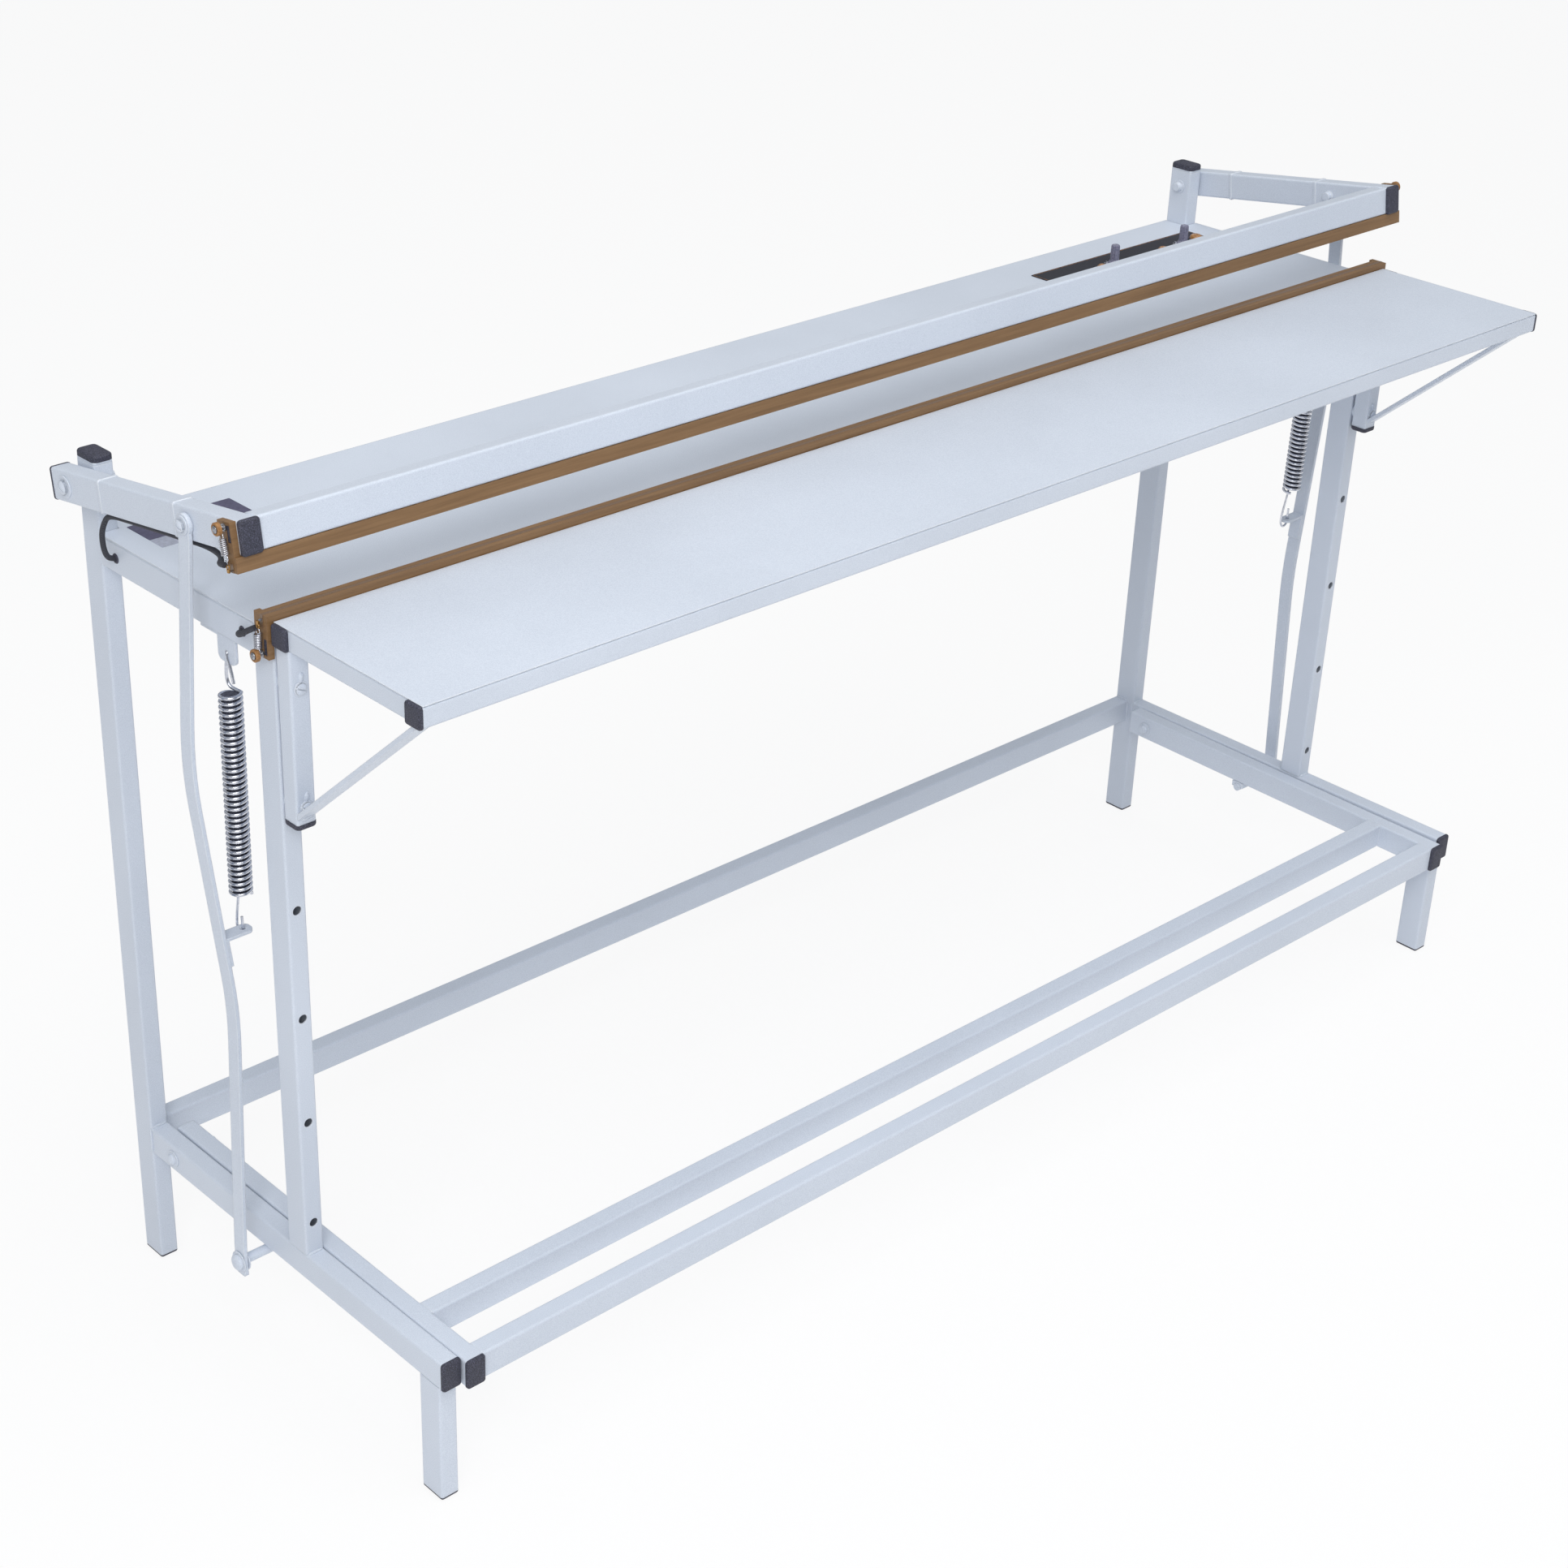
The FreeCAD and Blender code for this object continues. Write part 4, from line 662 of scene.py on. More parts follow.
def caps():
    "Caps and foot plugs with rounded corners, and the collars under the post caps."
    collar_top = post_top + post_collar
    cap_set("post_cap_covers", "frame", "post_caps", STAY,
            (0, tube_a, 0, tube_b, collar_top, post_top + post_cap_high, 2, 1, cap_over, 5.0))
    collars = bmesh.new()
    for label, side in SIDES:
        collar = drawn_block(0.02, tube_a - 0.02, 0.02, tube_b - 0.02, post_top, collar_top, 2, 0, 2.5, 0.05)
        added(collars, collar, side)
    piece_of("post_cap_collars", collars, [WHITE], "frame", ())

    leg0 = -front_leg_y - tube_b / 2.0
    cap_set("foot_plugs", "frame", "feet", STAY,
            (0, tube_a, 0.0, tube_b, 0.0, foot_height, 2, -1, 0.0, 2.6),
            (0, tube_a, leg0, leg0 + tube_b, 0.0, foot_height, 2, -1, 0.0, 2.6))
    cap_set("rail_cap_covers", "frame", "rail_caps", STAY,
            (0, tube_a, -rail_front - cap_thick, -rail_front, rail_low, rail_high, 1, -1))
    shelf_rear = -shelf_back - shelf_tube
    shelf_high = shelf_low + shelf_tube
    cap_set("shelf_cap_covers", "frame", "shelf_caps", STAY,
            (-cap_thick, 0, -shelf_front, -shelf_front + shelf_tube, shelf_low, shelf_high, 0, -1),
            (-cap_thick, 0, shelf_rear, shelf_rear + shelf_tube, shelf_low, shelf_high, 0, -1))
    cap_set("bracket_cap_covers", "frame", "bracket_caps", STAY,
            (0, shelf_tube, shelf_rear, -shelf_back, bracket_bottom - bracket_cap_thick, bracket_bottom, 2, -1,
             0.9, 5.0))
    cap_set("arm_cap_covers", "upper_jaw", "arm_caps", OPEN,
            (arm_x0, -arm_gap, -arm_front - cap_thick, -arm_front, arm_low, arm_high, 1, -1),
            (arm_x0, -arm_gap, arm_rear, arm_rear + arm_rear_cap, arm_low, arm_high, 1, 1))
    cap_set("pedal_cap_covers", "pedal", "pedal_caps", TILT,
            (pedal_x0, pedal_x0 + tube_a, -pedal_front - cap_thick, -pedal_front,
             pedal_pivot_z - tube_b / 2.0, pedal_pivot_z + tube_b / 2.0, 1, -1))


# Bolts and pins

OUT = Vector((-1, 0, 0))
IN = Vector((1, 0, 0))
washer_r = 10.5
washer_thick = 1.2
head_r = 7.0
head_high = 4.5
pin_r = 5.0
nut_high = 7.0
spacer_r = 8.0
slot_wide = 1.7
slot_deep = 1.9
slot_turn = 52
bracket_slot_turn = 68
anchor_cross_turn = 20


def through_bolt(whole, x_face, x_inside, y, z, matrix, slotted, head=head_r, round_plate=washer_r, nub=5.6):
    "Washer and domed head outside x_face, the shank through, and a washer and small dome beyond x_inside."
    start = x_face - washer_thick
    added(whole, washer(round_plate, washer_thick, P(start, y, z), IN), matrix)
    if slotted:
        added(whole, slotted_head(head, head_high, P(start, y, z), OUT, slot_turn, slot_wide, slot_deep), matrix)
    else:
        added(whole, pan_head(head, head_high, P(start, y, z), OUT), matrix)
    added(whole, rod(pin_r - 0.02, x_inside + nut_high - start, P(start, y, z), IN), matrix)
    added(whole, washer(nub + 2.4, 1.2, P(x_inside, y, z), IN), matrix)
    added(whole, pan_head(nub, 0.85 * nub, P(x_inside + 1.2, y, z), IN), matrix)


def bolts():
    "Pivot bolts, link bolts and pedal pins, painted over like the frame."
    whole = bmesh.new()
    for label, side in SIDES:
        through_bolt(whole, arm_x0, tube_a, pivot_y, pivot_z, side, True)
        added(whole, rod(spacer_r, arm_gap, P(-arm_gap, pivot_y, pivot_z), IN), side)
    piece_of("arm_pivot_bolt_sets", whole, [WHITE], "frame", ["arm_pivot_bolts"])

    whole = bmesh.new()
    y = pivot_y - link_pin_reach
    link_inside = link_top_x + link_thick
    for label, side in SIDES:
        through_bolt(whole, link_top_x, -arm_gap, y, pivot_z, side @ OPEN, True, 6.0, 8.6, 4.0)
        added(whole, rod(washer_r - 1.0, arm_x0 - link_inside, P(link_inside, y, pivot_z), IN), side @ OPEN)
    piece_of("link_bolt_sets", whole, [WHITE], "upper_jaw", ["link_bolts"])

    whole = bmesh.new()
    for label, side in SIDES:
        through_bolt(whole, 0.0, pedal_x0 + tube_a, pedal_pivot_y, pedal_pivot_z, side, False, 5.9, 9.2)
        added(whole, rod(spacer_r, pedal_x0 - tube_a, P(tube_a, pedal_pivot_y, pedal_pivot_z), IN), side)
    piece_of("pedal_bolt_sets", whole, [WHITE], "pedal", ["pedal_bolts"])

    whole = bmesh.new()
    y = pedal_pin_y
    z = pedal_pin_z
    head = link_low_x - 0.4
    for label, side in SIDES:
        added(whole, pan_head(8.4, 5.4, P(head - washer_thick, y, z), OUT), side)
        added(whole, washer(11.2, washer_thick, P(head - washer_thick, y, z), IN), side)
        added(whole, washer(washer_r, washer_thick, P(link_low_x + link_thick + 0.4, y, z), IN), side)
        added(whole, rod(pin_r - 0.02, pedal_x0 + tube_a + 1.0 - head, P(head, y, z), IN), side)
    piece_of("pedal_pin_sets", whole, [WHITE], "pedal", ["pedal_pins"])


def bracket_screws():
    "Slotted screws of the shelf brackets, with spacers and rear washers."
    whole = bmesh.new()
    x = shelf_tube / 2.0
    head_y = -shelf_back - shelf_tube
    rear_y = -front_post_front + tube_b
    forward = Vector((0, -1, 0))
    back = Vector((0, 1, 0))
    for label, side in SIDES:
        for z in bracket_holes:
            added(whole, washer(7.2, 0.8, P(x, head_y, z), forward), side)
            added(whole, slotted_head(5.6, 3.8, P(x, head_y, z), forward, bracket_slot_turn, 1.3, 1.8), side)
            added(whole, rod(3.98, rear_y - head_y + 0.9, P(x, head_y, z), back), side)
            added(whole, rod(spacer_r, shelf_back - front_post_front, P(x, -shelf_back, z), back), side)
            added(whole, washer(5.0, 0.7, P(x, rear_y, z), back), side)
    piece_of("bracket_screw_sets", whole, [WHITE], "frame", ["bracket_bolts"])


# Springs

upper_pin = OPEN @ P(link_top_x, pivot_y - link_pin_reach, pivot_z)
lower_pin = P(link_low_x, pedal_pin_y, pedal_pin_z)
link_down = (Vector((0, lower_pin.y - upper_pin.y, lower_pin.z - upper_pin.z))).normalized()
tab_hole = Vector((P(tab_hole_x, 0, 0).x, upper_pin.y, upper_pin.z)) + link_down * (link_tab_drop + 1.5) * MM


def return_springs():
    "Round-wire coils hooked on the frame's tab, with a lower hook that slides in the coil as it stretches."
    top = P(tab_hole_x, spring_top_y, spring_top_z)
    down = (tab_hole - top).normalized()
    length = spring_pitch * spring_turns
    start = top + down * (((tab_hole - top).length / MM - length) / 2.0) * MM
    end = start + down * length * MM
    radius = (spring_od - spring_wire) / 2.0
    upper_hook = [(-1.6, -8.5, -26), (-1.7, -5.4, -15), (-1.8, -1.6, -4), (-0.8, 0.0, 0.9), (1.2, 1.6, 0.4),
                  (2.6, 5.0, -5), (3.0, 8.4, -13), (3.0, 9.4, -21), (2.8, 8.6, -29), (3.4, 5.0, -35)]
    round_tab = {"left": (0.0, 9.4), "right": (12.5, 0.0)}
    tab_turn = ((0.9, 0, 12), (1, 0, 1), (0.75, 0, -6), (0.3, 0, -7), (0, 0, -3), (0, 0, 5), (0, -0.4, 14))
    for label, side in SIDES:
        line = coil_line(start, down, radius, spring_pitch, spring_turns, 24, 0.6)
        hook = [top + Vector(point) * MM for point in upper_hook]
        whole = bmesh.new()
        added(whole, swept(smooth_line(hook + [line[0]]) + line[1:], spring_wire / 2.0, 12), side)
        # A dark rod inside the coil, as painted shade in the coil's inside.
        added(whole, rod(radius - 0.56 * spring_wire, length - 5.0, start + down * 2.0 * MM, down), side, 1)
        piece_of(label + "_return_coil", whole, [STEEL, SHADE_CORE], "frame", [label + "_return_spring"],
                 60.0)

        dx, dy = round_tab[label]
        aside = Vector((dx, dy, 0)) * MM
        shank = []
        for along, share in ((-44, 0.2), (-8, 0.4), (2, 0.5)):
            shank.append(end + down * along * MM + aside * share)
        for share, x, z in tab_turn:
            shank.append(tab_hole + aside * share + Vector((x, 0, z)) * MM)
        whole = bmesh.new()
        added(whole, swept(smooth_line(shank), spring_wire * 0.4, 12), side)
        piece_of(label + "_return_hook", whole, [STEEL], label + "_link", [label + "_return_spring"],
                 60.0)


def ring_line(at, normal, radius, steps=20):
    "Points round a circle, closed by its first point."
    first = normal.orthogonal().normalized()
    second = normal.cross(first)
    line = []
    for k in range(steps + 1):
        a = 2.0 * math.pi * k / steps
        line.append(at + (first * math.cos(a) + second * math.sin(a)) * radius * MM)
    return line


def ribbon(points, wide, thick):
    "A flat strip along points in the XZ plane, its width along Y."
    part = bmesh.new()
    rings = []
    for k, point in enumerate(points):
        ahead = points[min(k + 1, len(points) - 1)] - points[max(k - 1, 0)]
        normal = Vector((-ahead.z, 0, ahead.x)).normalized() * thick / 2.0 * MM
        across = Vector((0, wide / 2.0 * MM, 0))
        corners = (normal + across, normal - across, -normal - across, across - normal)
        rings.append([part.verts.new(point + corner) for corner in corners])
    return skinned(part, rings)


def band_ends(prefix, x_face, hook_y, hook_z, screw_y, screw_z, edge_x, edge_z, matrix, body):
    "Tails, tension springs and anchor screws at both ends of one heating band."
    stand = 4.2
    x = x_face - stand
    hook = P(x, hook_y, hook_z)
    screw = P(x, screw_y, screw_z)
    axis = (screw - hook).normalized()
    reach = (screw - hook).length / MM
    turns = 9
    pitch = 1.55
    lead = (reach - turns * pitch) / 2.0
    inset = axis * (lead - 2.4) * MM
    wires = (coil_line(hook + axis * lead * MM, axis, 3.1, pitch, turns, 14),
             ring_line(hook + inset, IN, 2.7), ring_line(screw - inset, IN, 2.7))
    away = 1.0 if edge_z > hook_z else -1.0
    clip_ends = sorted((hook_z + away * 2.4, hook_z + away * 6.0))
    tail = [P(edge_x + 1.0, hook_y, edge_z - away * 1.6), P(edge_x - 1.4, hook_y, edge_z - away * 2.2),
            P(x, hook_y, hook_z + away * 5.0)]
    bush = [(0.0, 0.0), (5.2, 0.0), (5.8, 0.5), (5.8, 3.6), (5.2, 4.2), (3.9, 4.2), (3.6, 3.7), (0.0, 3.7)]
    fixings = bmesh.new()
    for label, side in SIDES:
        whole = bmesh.new()
        for wire in wires:
            added(whole, swept(wire, 0.5, 8), side @ matrix)
        piece_of(label + "_" + prefix + "_band_spring", whole, [STEEL], body,
                 [label + "_" + prefix + "_tension_spring"], 60.0)
        parts = [
            (swept(ring_line(hook + Vector((0, 0, away)) * MM, IN, 1.9), 0.6, 8), 0),
            (drawn_block(x - 0.9, x + 0.9, hook_y - 1.5, hook_y + 1.5, *clip_ends, 0, 0, 0.5, 0.3), 0),
            (ribbon(tail, 3.0, 0.45), 1),
            (rod(1.9, stand + 6.0, P(x_face + 2.0, screw_y, screw_z), OUT), 1),
            (rod(3.4, 1.6, P(x_face, screw_y, screw_z), OUT), 1),
            (lathe(bush, P(x - 0.8, screw_y, screw_z), OUT), 2),
            (slotted_head(3.3, 2.2, P(x - 4.4, screw_y, screw_z), OUT, anchor_cross_turn, 0.8, 1.1, True), 1)]
        for part, index in parts:
            added(fixings, part, side @ matrix, index)
    piece_of(prefix + "_band_fixings", fixings, [BRASS, SCREW, BUSH], body, [prefix + "_terminals"])


# Leads

lead_r = 2.6
lead_clearance = 4.35
clip_y = -58.0
loop_start = (-25.0, 795.5)
lower_lead_start = (-226.5, 796.5)
inner_lead_start = (-216.0, 850.0)


def lead_curve(name, points, matrix):
    "A smooth sleeved lead with the route's points as its control points, as a mesh."
    data = bpy.data.curves.new(name, "CURVE")
    data.dimensions = "3D"
    data.bevel_depth = lead_r * MM
    data.bevel_resolution = 6
    data.resolution_u = 12
    data.use_fill_caps = True
    spline = data.splines.new("NURBS")
    spline.points.add(len(points) - 1)
    for target, point in zip(spline.points, points):
        target.co = (*(matrix @ point), 1.0)
    spline.order_u = 3
    spline.use_endpoint_u = True
    curve = object_of(name + "_route", data)
    graph = bpy.context.evaluated_depsgraph_get()
    mesh = bpy.data.meshes.new_from_object(curve.evaluated_get(graph))
    bpy.data.objects.remove(curve)
    mesh.materials.clear()
    mesh.materials.append(SLEEVE)
    for polygon in mesh.polygons:
        polygon.use_smooth = True
        polygon.material_index = 0
    return object_of(name, mesh)


def sleeve(name, points, matrix, body, node):
    piece = lead_curve(name, points, matrix)
    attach(piece, body)
    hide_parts(node)


def leads():
    "Sleeved leads from the side tubes to the heating bands; the right arm's own runs inside it."
    y, z = lower_lead_start
    lower = [P(6, y, z), P(-3.5, y, z), P(-9.5, y - 8, z + 2.5), P(-12.5, y - 18, z + 7.5),
             P(-12.6, y - 28, z + 14.5),
             P(-end_block_thick - 4.8, lower_mid + 3.4, lower_strip_top - clip_drop - 1.5)]
    z = arm_low - lead_clearance
    x = arm_x0 + tube_a / 2.0
    clip = P(arm_x0 - end_block_thick - 5.0, upper_mid + 3.4, z - 1.6)
    arm = [P(x, clip_y, z), P(x, clip_y - 50, z), P(x - 0.5, clip_y - 100, z - 0.4),
           P(x + 0.2, clip_y - 140, z - 1.2), P(x - 3, clip_y - 164, z - 3.2), P(x - 11, clip_y - 179, z - 3.6),
           P(arm_x0 - end_block_thick - 4.6, clip_y - 190, z - 2.6), clip]
    near = OPEN @ P(x, clip_y + 20, z)
    end = OPEN @ P(x, clip_y, z)
    y, z = inner_lead_start
    inner = [P(arm_x0 + 6, y, z), P(arm_x0 - 5.5, y, z), P(arm_x0 - 10.5, y - 10, z - 4),
             P(arm_x0 - 13.5, y - 24, z - 10), clip]
    y, z = loop_start
    hole = P(-5, y, z)
    loop = [P(6, y, z), hole, P(x, y - 2, z + 9), P(x - 1.5, y - 2, z + 27), P(x - 1, y - 7, z + 39.5), near, end]
    for label, side in SIDES:
        sleeve(label + "_lower_sleeve", lower, side, "frame", label + "_lower_lead")
    sleeve("left_arm_sleeve", arm, OPEN, "upper_jaw", "left_arm_lead")
    sleeve("right_arm_sleeve", inner, MIRROR @ OPEN, "upper_jaw", "right_arm_lead")
    piece = lead_curve("left_loop_sleeve", loop, STAY)
    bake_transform(piece)
    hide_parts("left_lead_loop")


def grommets():
    "Black grommets in the side tube's holes for the leads."
    whole = bmesh.new()
    profile = [(2.7, -0.6), (4.4, -0.6), (4.9, 0.1), (4.4, 0.9), (3.2, 1.2), (2.7, 0.9), (2.7, -0.6)]
    for label, side in SIDES:
        y, z = lower_lead_start
        added(whole, lathe(profile, P(0, y, z), OUT), side)
    y, z = loop_start
    added(whole, lathe(profile, P(0, y, z), OUT))
    piece_of("lead_grommets", whole, [CAP], "frame", ())


# Control panel

def mark(x0, x1, y0, y1, z, high=0.06, corner=0.1):
    "A thin printed mark lying on a level face."
    return drawn_block(x0, x1, y0, y1, z, z + high, 2, 1, corner, 0.02)


def fluted_knob(name, x, body, node):
    "A tapered knob with ten flutes, a collar and a bevelled crown."
    part = bmesh.new()
    segments = 80
    base = panel_top + 0.4
    levels = [(7.4, 0.0, 0.0), (7.4, 1.0, 0.0), (7.0, 1.8, 0.0), (6.2, 3.2, 0.0), (5.5, 3.9, 0.0), (5.35, 4.9, 0.3),
              (5.3, 5.9, 1.0), (5.2, 13.0, 1.0), (5.0, 20.4, 1.0), (4.7, 21.6, 0.8), (4.1, 22.4, 0.3)]
    rings = []
    for radius, height, depth in levels:
        ring = []
        for k in range(segments):
            a = 2.0 * math.pi * k / segments
            flute = max(0.0, math.cos(10.0 * a)) ** 2
            r = (radius - 0.75 * depth * flute) * MM
            ring.append(part.verts.new(P(x, knob_y, base + height) + Vector((r * math.cos(a), r * math.sin(a), 0))))
        rings.append(ring)
    whole = bmesh.new()
    added(whole, skinned(part, rings))
    added(whole, mark(x - 0.35, x + 0.35, knob_y + 0.6, knob_y + 4.0, base + 22.3, 0.18), STAY, 1)
    piece_of(name, whole, [KNOB, TICK], body, [node])


def dial_marks(whole, x):
    "Plain scale round one knob: short marks on a ring open at the front."
    centre = P(x, knob_y, 0)
    count = 11
    for k in range(count):
        a = math.radians(225.0 - 270.0 * k / (count - 1))
        turn = Matrix.Translation(centre) @ Matrix.Rotation(a, 4, "Z") @ Matrix.Translation(-centre)
        long = 2.8 if k % 5 == 0 else 2.0
        added(whole, mark(x + 10.0, x + 10.0 + long, knob_y - 0.35, knob_y + 0.35, panel_top, 0.06, 0.05), turn)


def panel_pieces():
    "Knobs, lamps, button, border line and plain marks on the panel."
    fluted_knob("timer_knob_left", knob_x[0], "knob_1", "timer_knob_1")
    fluted_knob("timer_knob_right", knob_x[1], "knob_2", "timer_knob_2")
    z = panel_top
    up = Vector((0, 0, 1))

    whole = bmesh.new()
    for x in lamp_x:
        profile = [(0.0, -21.5), (5.0, -21.5), (5.0, 0.0), (6.0, 0.0), (6.0, 1.2), (5.5, 1.5), (5.2, 1.5)]
        added(whole, lathe(profile + dome(5.2, 1.5, 2.5), P(x, knob_y, z), up))
    piece_of("lamp_lenses", whole, [AMBER], "frame", ["signal_lamps"])

    whole = bmesh.new()
    profile = [(7.75, -6.0), (7.75, 2.6), (8.1, 3.0), (9.5, 3.0), (10.0, 2.5), (10.0, 0.0), (8.5, 0.0), (8.5, -23.5),
               (0.0, -23.5), (0.0, -9.0), (7.75, -9.0), (7.75, -6.0)]
    added(whole, lathe(profile, P(switch_x, knob_y, z), up, 48))
    piece_of("switch_ring", whole, [CAP], "frame", ["switch_body"])

    whole = bmesh.new()
    profile = [(0.0, -0.5), (7.6, -0.5), (7.6, 3.6), (7.2, 4.6)] + dome(7.2, 4.6, 3.3, 7)
    added(whole, lathe(profile, P(switch_x, knob_y, z), up, 48))
    piece_of("switch_cap", whole, [AMBER], "button", ["switch_button"])

    whole = bmesh.new()
    x0 = panel_left + 1.2
    x1 = panel_right - 1.2
    y0 = (panel_low.y - back_y) / MM + 1.2
    y1 = (panel_high.y - back_y) / MM - 1.2
    t = 0.7
    for a, b, c, d in ((x0, x1, y0, y0 + t), (x0, x1, y1 - t, y1), (x0, x0 + t, y0, y1), (x1 - t, x1, y0, y1)):
        added(whole, mark(a, b, c, d, z, 0.05))
    piece_of("panel_border", whole, [AMBER_LINE], "frame", ())

    whole = bmesh.new()
    for x in knob_x:
        dial_marks(whole, x)
        added(whole, washer(9.3, 0.35, P(x, knob_y, z), up), STAY, 1)
    for x in lamp_x:
        added(whole, mark(x - 19.0, x - 9.5, knob_y - 3.2, knob_y - 2.2, z))
        added(whole, mark(x - 16.0, x - 9.5, knob_y + 1.2, knob_y + 2.2, z))
    piece_of("dial_scales", whole, [TICK, COLLAR], "frame", ())


def table_label():
    "Plain two-tone plate at the table's left end, with nothing written on it."
    whole = bmesh.new()
    added(whole, drawn_block(26, 136, -42, -3, table_top, table_top + 0.25, 2, 1, 1.2, 0.08), STAY, 0)
    added(whole, drawn_block(26, 136, -63, -42.02, table_top, table_top + 0.25, 2, 1, 1.2, 0.08), STAY, 1)
    piece_of("table_label", whole, [LABEL_DARK, LABEL_GREY], "frame", ())


# Painted shade in the jaw slots

def jaw_slot_shade():
    """Black blocks in the slots of the four end blocks, as painted shade in the recesses."""
    rows = (("lower", -end_block_thick, -272.02, 790.98, STAY, "frame"),
            ("upper", arm_x0 - end_block_thick, -264.52, 853.98, OPEN, "upper_jaw"))
    for jaw, x, y, z, matrix, body in rows:
        whole = bmesh.new()
        for label, side in SIDES:
            slot_shade_block = drawn_block(x + 0.5, x + 4.02, y, y + 5.04, z, z + 15.04, 0, 0, 0.1, 0.05)
            added(whole, slot_shade_block, side @ matrix)
        piece_of(jaw + "_slot_painted_shade", whole, [CAP], body, ())


# Weld beads

def bead(whole, start, end, matrix, radius):
    "A slightly uneven painted weld along a corner."
    chance = random.Random(round((start.x + start.y * 3 + start.z * 7) * 1e5))
    length = (end - start).length
    count = max(4, int(length / (2.2 * MM)))
    along = (end - start).normalized()
    side = along.orthogonal().normalized()
    part = bmesh.new()
    rings = []
    for k in range(count + 1):
        point = start + (end - start) * (k / count)
        r = radius * (0.85 + 0.3 * chance.random()) * MM
        if k in (0, count):
            r *= 0.35
        rings.append(ring_at(part, point, side, along.cross(side), r, 8))
    added(whole, skinned(part, rings), matrix)


def welds():
    "Beads where the tubes of the frame, the pedal, the brackets and the upper jaw meet."
    e = 0.4
    leg0 = -front_leg_y - tube_b / 2.0
    leg1 = leg0 + tube_b
    post0 = -front_post_front
    post1 = post0 + tube_b
    side_low = frame_top - tube_b
    shelf_rear = -shelf_back - shelf_tube
    inner = tube_a + e
    # across the tube: rail on back post, leg under rail, post on rail, side tube between the posts
    across = ((-e, rail_high + e), (-e, rail_low - e), (leg0 - e, rail_low - e), (leg1 + e, rail_low - e),
              (post0 - e, rail_high + e), (post1 + e, rail_high + e), (post1 + e, side_low - e), (-e, side_low - e))
    runs = [((-e, -e, rail_low + 2), (-e, -e, rail_high - 2), 1.7)]
    for y, z in across:
        runs.append(((2, y, z), (tube_a - 2, y, z), 1.7))
    # rear stretcher, table tubes, bracket and brace
    runs += [((inner, tube_b - inner, rail_low + 2), (inner, tube_b - inner, rail_high - 2), 1.7),
             ((inner, 12, rail_high + e), (inner, tube_b - 2, rail_high + e), 1.7),
             ((inner, post0 + 3, frame_top - inner), (inner, post1 - 3, frame_top - inner), 1.7),
             ((2, -shelf_back + e, shelf_low - e), (shelf_tube - 2, -shelf_back + e, shelf_low - e), 1.4),
             ((3, shelf_rear - e, bracket_bottom + 7), (17, shelf_rear - e, bracket_bottom + 7), 1.6)]
    # paint-filled keyhole above each bracket screw, and the braces' feet
    for z in bracket_holes:
        runs.append(((10, shelf_rear + 0.6, z + 5), (11.5, shelf_rear + 0.6, z + 15), 2.7))
    runs.append(((4, shelf_rear - 0.3, bracket_bottom + 5), (16, shelf_rear - 0.3, bracket_bottom + 8), 2.2))
    whole = bmesh.new()
    for label, side in SIDES:
        for start, end, radius in runs:
            bead(whole, P(*start), P(*end), side, radius)
    piece_of("frame_welds", whole, [WHITE], "frame", (), 60.0)

    whole = bmesh.new()
    x1 = pedal_x0 + tube_a
    z0 = pedal_pivot_z - tube_b / 2.0
    z1 = pedal_pivot_z + tube_b / 2.0
    for label, side in SIDES:
        for y0 in (-pedal_front, -413.0):
            for low, high in ((z0 + 0.03, z0 + 2.6), (z1 - 2.6, z1 - 0.03)):
                added(whole, drawn_block(x1 - 2.7, x1 + 0.6, y0 + 1.4, y0 + tube_a - 1.4, low, high, 2, 0, 0.1, 0.02),
                      side @ TILT)
            bead(whole, P(x1 + e, y0 + tube_a + e, z0 + 2), P(x1 + e, y0 + tube_a + e, z1 - 2), side @ TILT, 1.4)
    piece_of("pedal_welds", whole, [WHITE], "pedal", (), 60.0)

    whole = bmesh.new()
    for label, side in SIDES:
        bead(whole, P(-arm_gap + e, -arm_front + tube_a + e, arm_low + 3),
             P(-arm_gap + e, -arm_front + tube_a + e, arm_high - 3), side @ OPEN, 1.4)
        bead(whole, P(-arm_gap - 0.2, -arm_front + 3, arm_high - 0.3),
             P(-arm_gap - 0.2, -arm_front + tube_a - 3, arm_high - 0.3), side @ OPEN, 1.2)
        # seams round the arms
        for y in (-45.0, -168.0):
            ring = drawn_block(arm_x0 - 0.5, -arm_gap + 0.5, y - 1.3, y + 1.3, arm_low - 0.4, arm_high + 0.6,
                               1, 0, 2.6, 0.5)
            added(whole, ring, side @ OPEN)
    piece_of("jaw_welds", whole, [WHITE], "upper_jaw", (), 60.0)


def paint_chips():
    "A short run of chipped paint on the shelf's front edge, towards the right end."
    low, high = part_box("shelf_sheet")
    front = low.y / MM
    top = high.z / MM
    chance = random.Random(chip_seed)
    whole = bmesh.new()
    x = chip_start
    while x < chip_end:
        long = 1.0 + 2.6 * chance.random()
        high_by = 0.7 + 1.0 * chance.random()
        drop = 0.3 + 1.2 * chance.random()
        chip = drawn_block(x, x + long, front - 0.05, front + 0.3, top - drop - high_by, top - drop, 1, 0, 0.3, 0.03)
        added(whole, chip)
        x += long * (0.6 + 0.7 * chance.random())
    piece_of("shelf_paint_chips", whole, [CHIPPED], "frame", ())


# Stage

def floor():
    bpy.ops.mesh.primitive_plane_add(size=30.0, location=(0, 0, -0.0006))
    plane = bpy.context.active_object
    plane.name = "floor"
    plane.data.materials.append(stage_material())


def soft_lamp(name, at, target, size, power):
    data = bpy.data.lights.new(name, "AREA")
    data.shape = "SQUARE"
    data.size = size
    data.energy = power
    lamp = object_of(name, data)
    lamp.location = at
    lamp.rotation_euler = (Vector(target) - Vector(at)).to_track_quat("-Z", "Y").to_euler()


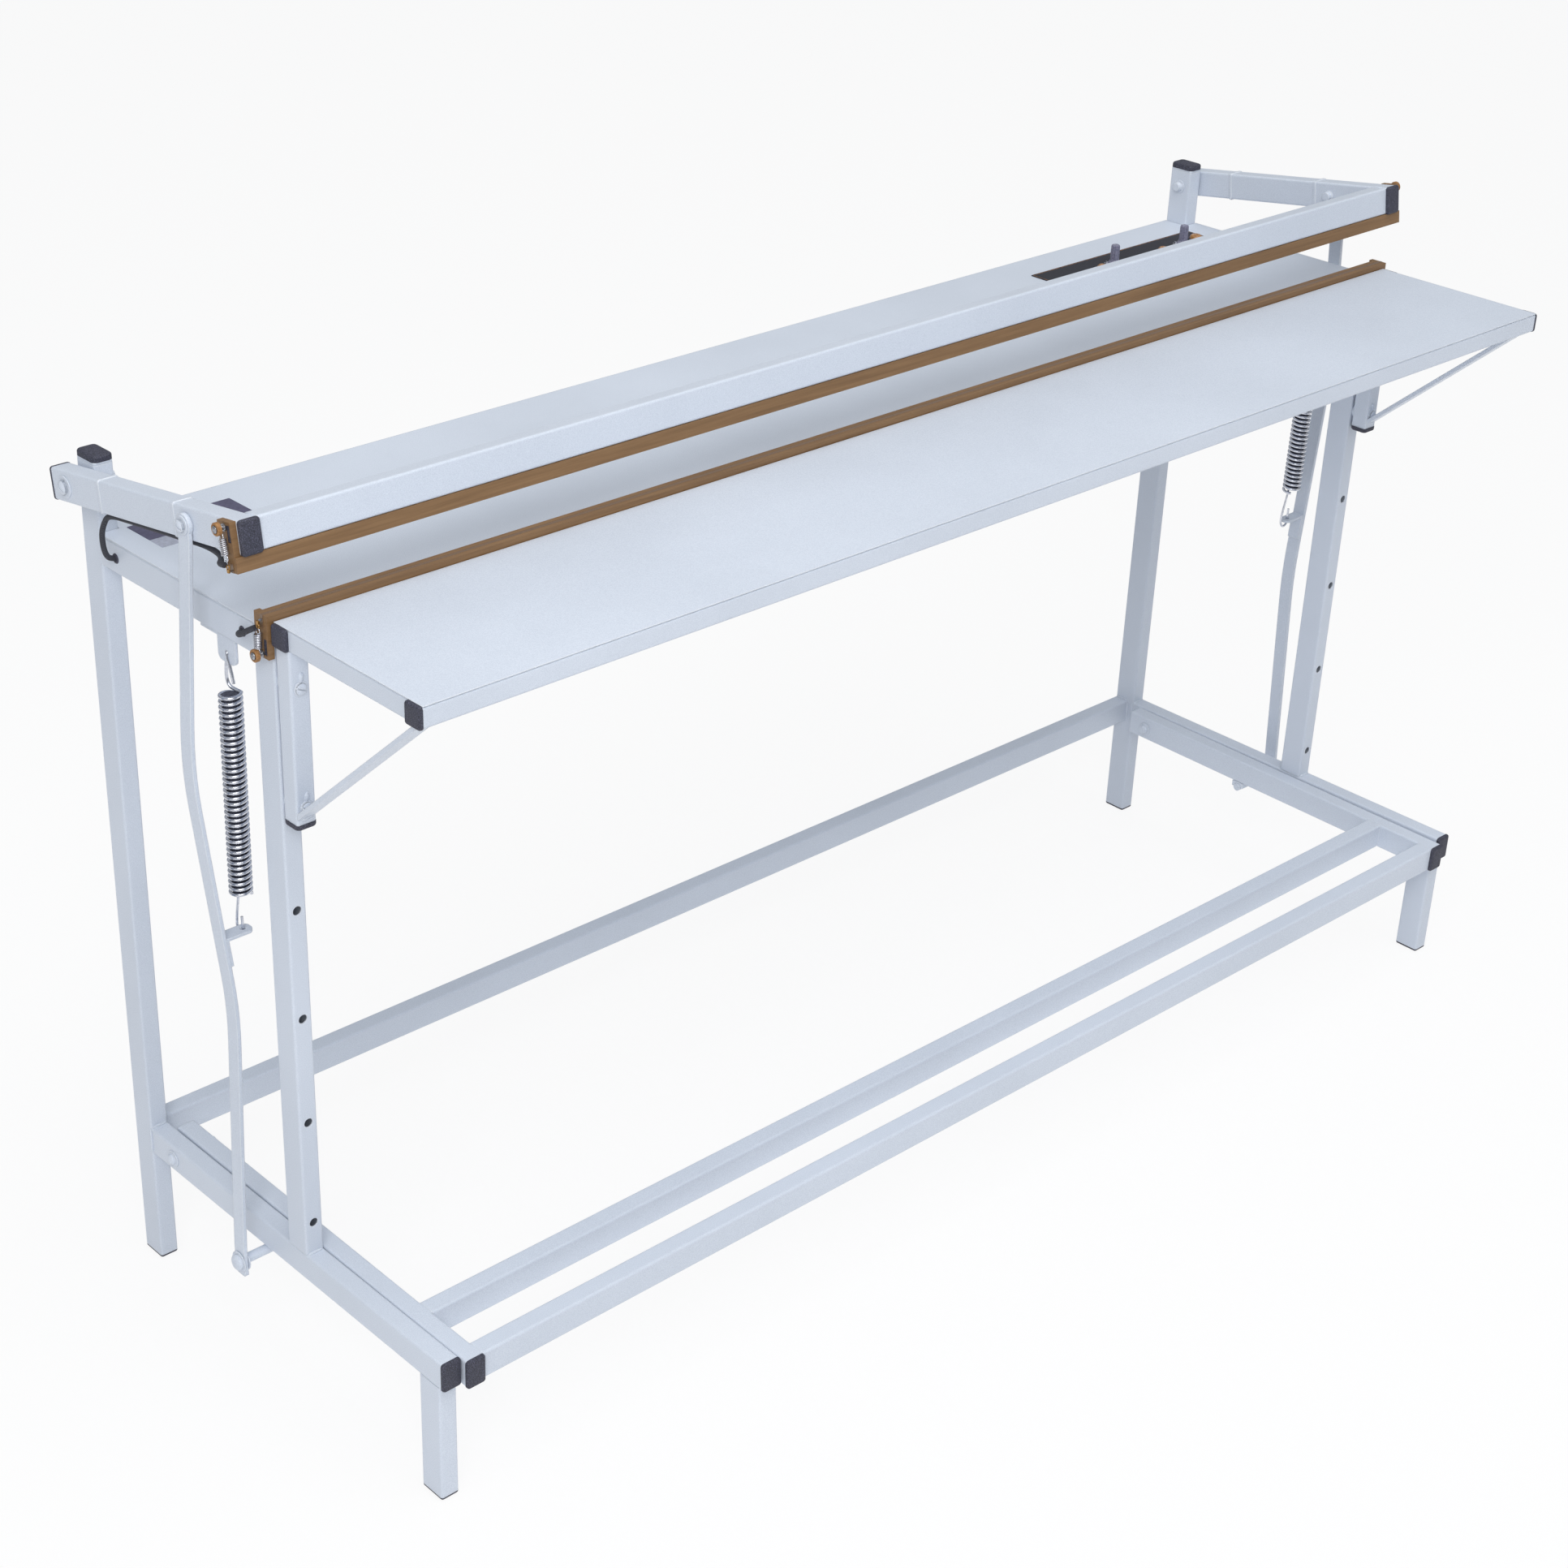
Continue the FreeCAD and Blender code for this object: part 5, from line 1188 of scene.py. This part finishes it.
def surroundings():
    "Soft light from all sides, brighter overhead, and white to the camera."
    world = bpy.data.worlds.new("pale_room")
    bpy.context.scene.world = world
    world.use_nodes = True
    tree = world.node_tree
    tree.nodes.clear()
    output = tree.nodes.new("ShaderNodeOutputWorld")
    lit = tree.nodes.new("ShaderNodeBackground")
    lit.inputs["Color"].default_value = (0.94, 0.97, 1.0, 1.0)
    direction = tree.nodes.new("ShaderNodeTexCoord")
    apart = tree.nodes.new("ShaderNodeSeparateXYZ")
    tree.links.new(direction.outputs["Generated"], apart.inputs["Vector"])
    sky = tree.nodes.new("ShaderNodeMapRange")
    sky.inputs["From Min"].default_value = 0.0
    sky.inputs["From Max"].default_value = 1.0
    sky.inputs["To Min"].default_value = 0.22
    sky.inputs["To Max"].default_value = 0.72
    tree.links.new(apart.outputs["Z"], sky.inputs["Value"])
    tree.links.new(sky.outputs["Result"], lit.inputs["Strength"])
    shown = tree.nodes.new("ShaderNodeBackground")
    shown.inputs["Color"].default_value = (1.0, 1.0, 1.0, 1.0)
    shown.inputs["Strength"].default_value = 1.0
    path = tree.nodes.new("ShaderNodeLightPath")
    mix_shaders(tree, path.outputs["Is Camera Ray"], lit.outputs["Background"], shown.outputs["Background"], output)


def camera():
    "The photograph's view, fitted to the machine's corners."
    data = bpy.data.cameras.new("photo_camera")
    data.lens = 64.33
    data.sensor_width = 36.0
    data.shift_x = 0.0652
    data.shift_y = 0.0184
    data.clip_start = 0.05
    data.clip_end = 60.0
    eye = object_of("photo_camera", data)
    eye.location = (-1.941195, -1.847838, 1.805664)
    eye.rotation_euler = (math.radians(61.38659), math.radians(-1.12866), math.radians(-41.65468))
    bpy.context.scene.camera = eye


dress_cad()
caps()
bolts()
bracket_screws()
return_springs()
band_ends("lower", -end_block_thick, lower_mid, lower_strip_top - clip_drop, lower_mid + 2.0,
          lower_strip_top - 36.5, 0.0, lower_strip_top + 0.05, STAY, "frame")
band_ends("upper", arm_x0 - end_block_thick, upper_mid, strip_low + 7.0, upper_mid + 4.0, arm_high - 5.0,
          arm_x0 - end_block_thick, strip_low - 0.05, OPEN, "upper_jaw")
jaw_slot_shade()
leads()
grommets()
panel_pieces()
table_label()
welds()
paint_chips()
floor()
soft_lamp("key_lamp", (-2.7, -2.3, 3.0), (0, -0.1, 0.5), 2.0, 70.0)
soft_lamp("top_lamp", (0.1, -1.3, 3.8), (0, -0.2, 0.5), 2.6, 44.0)
surroundings()
camera()
bpy.context.scene.view_settings.view_transform = "Standard"
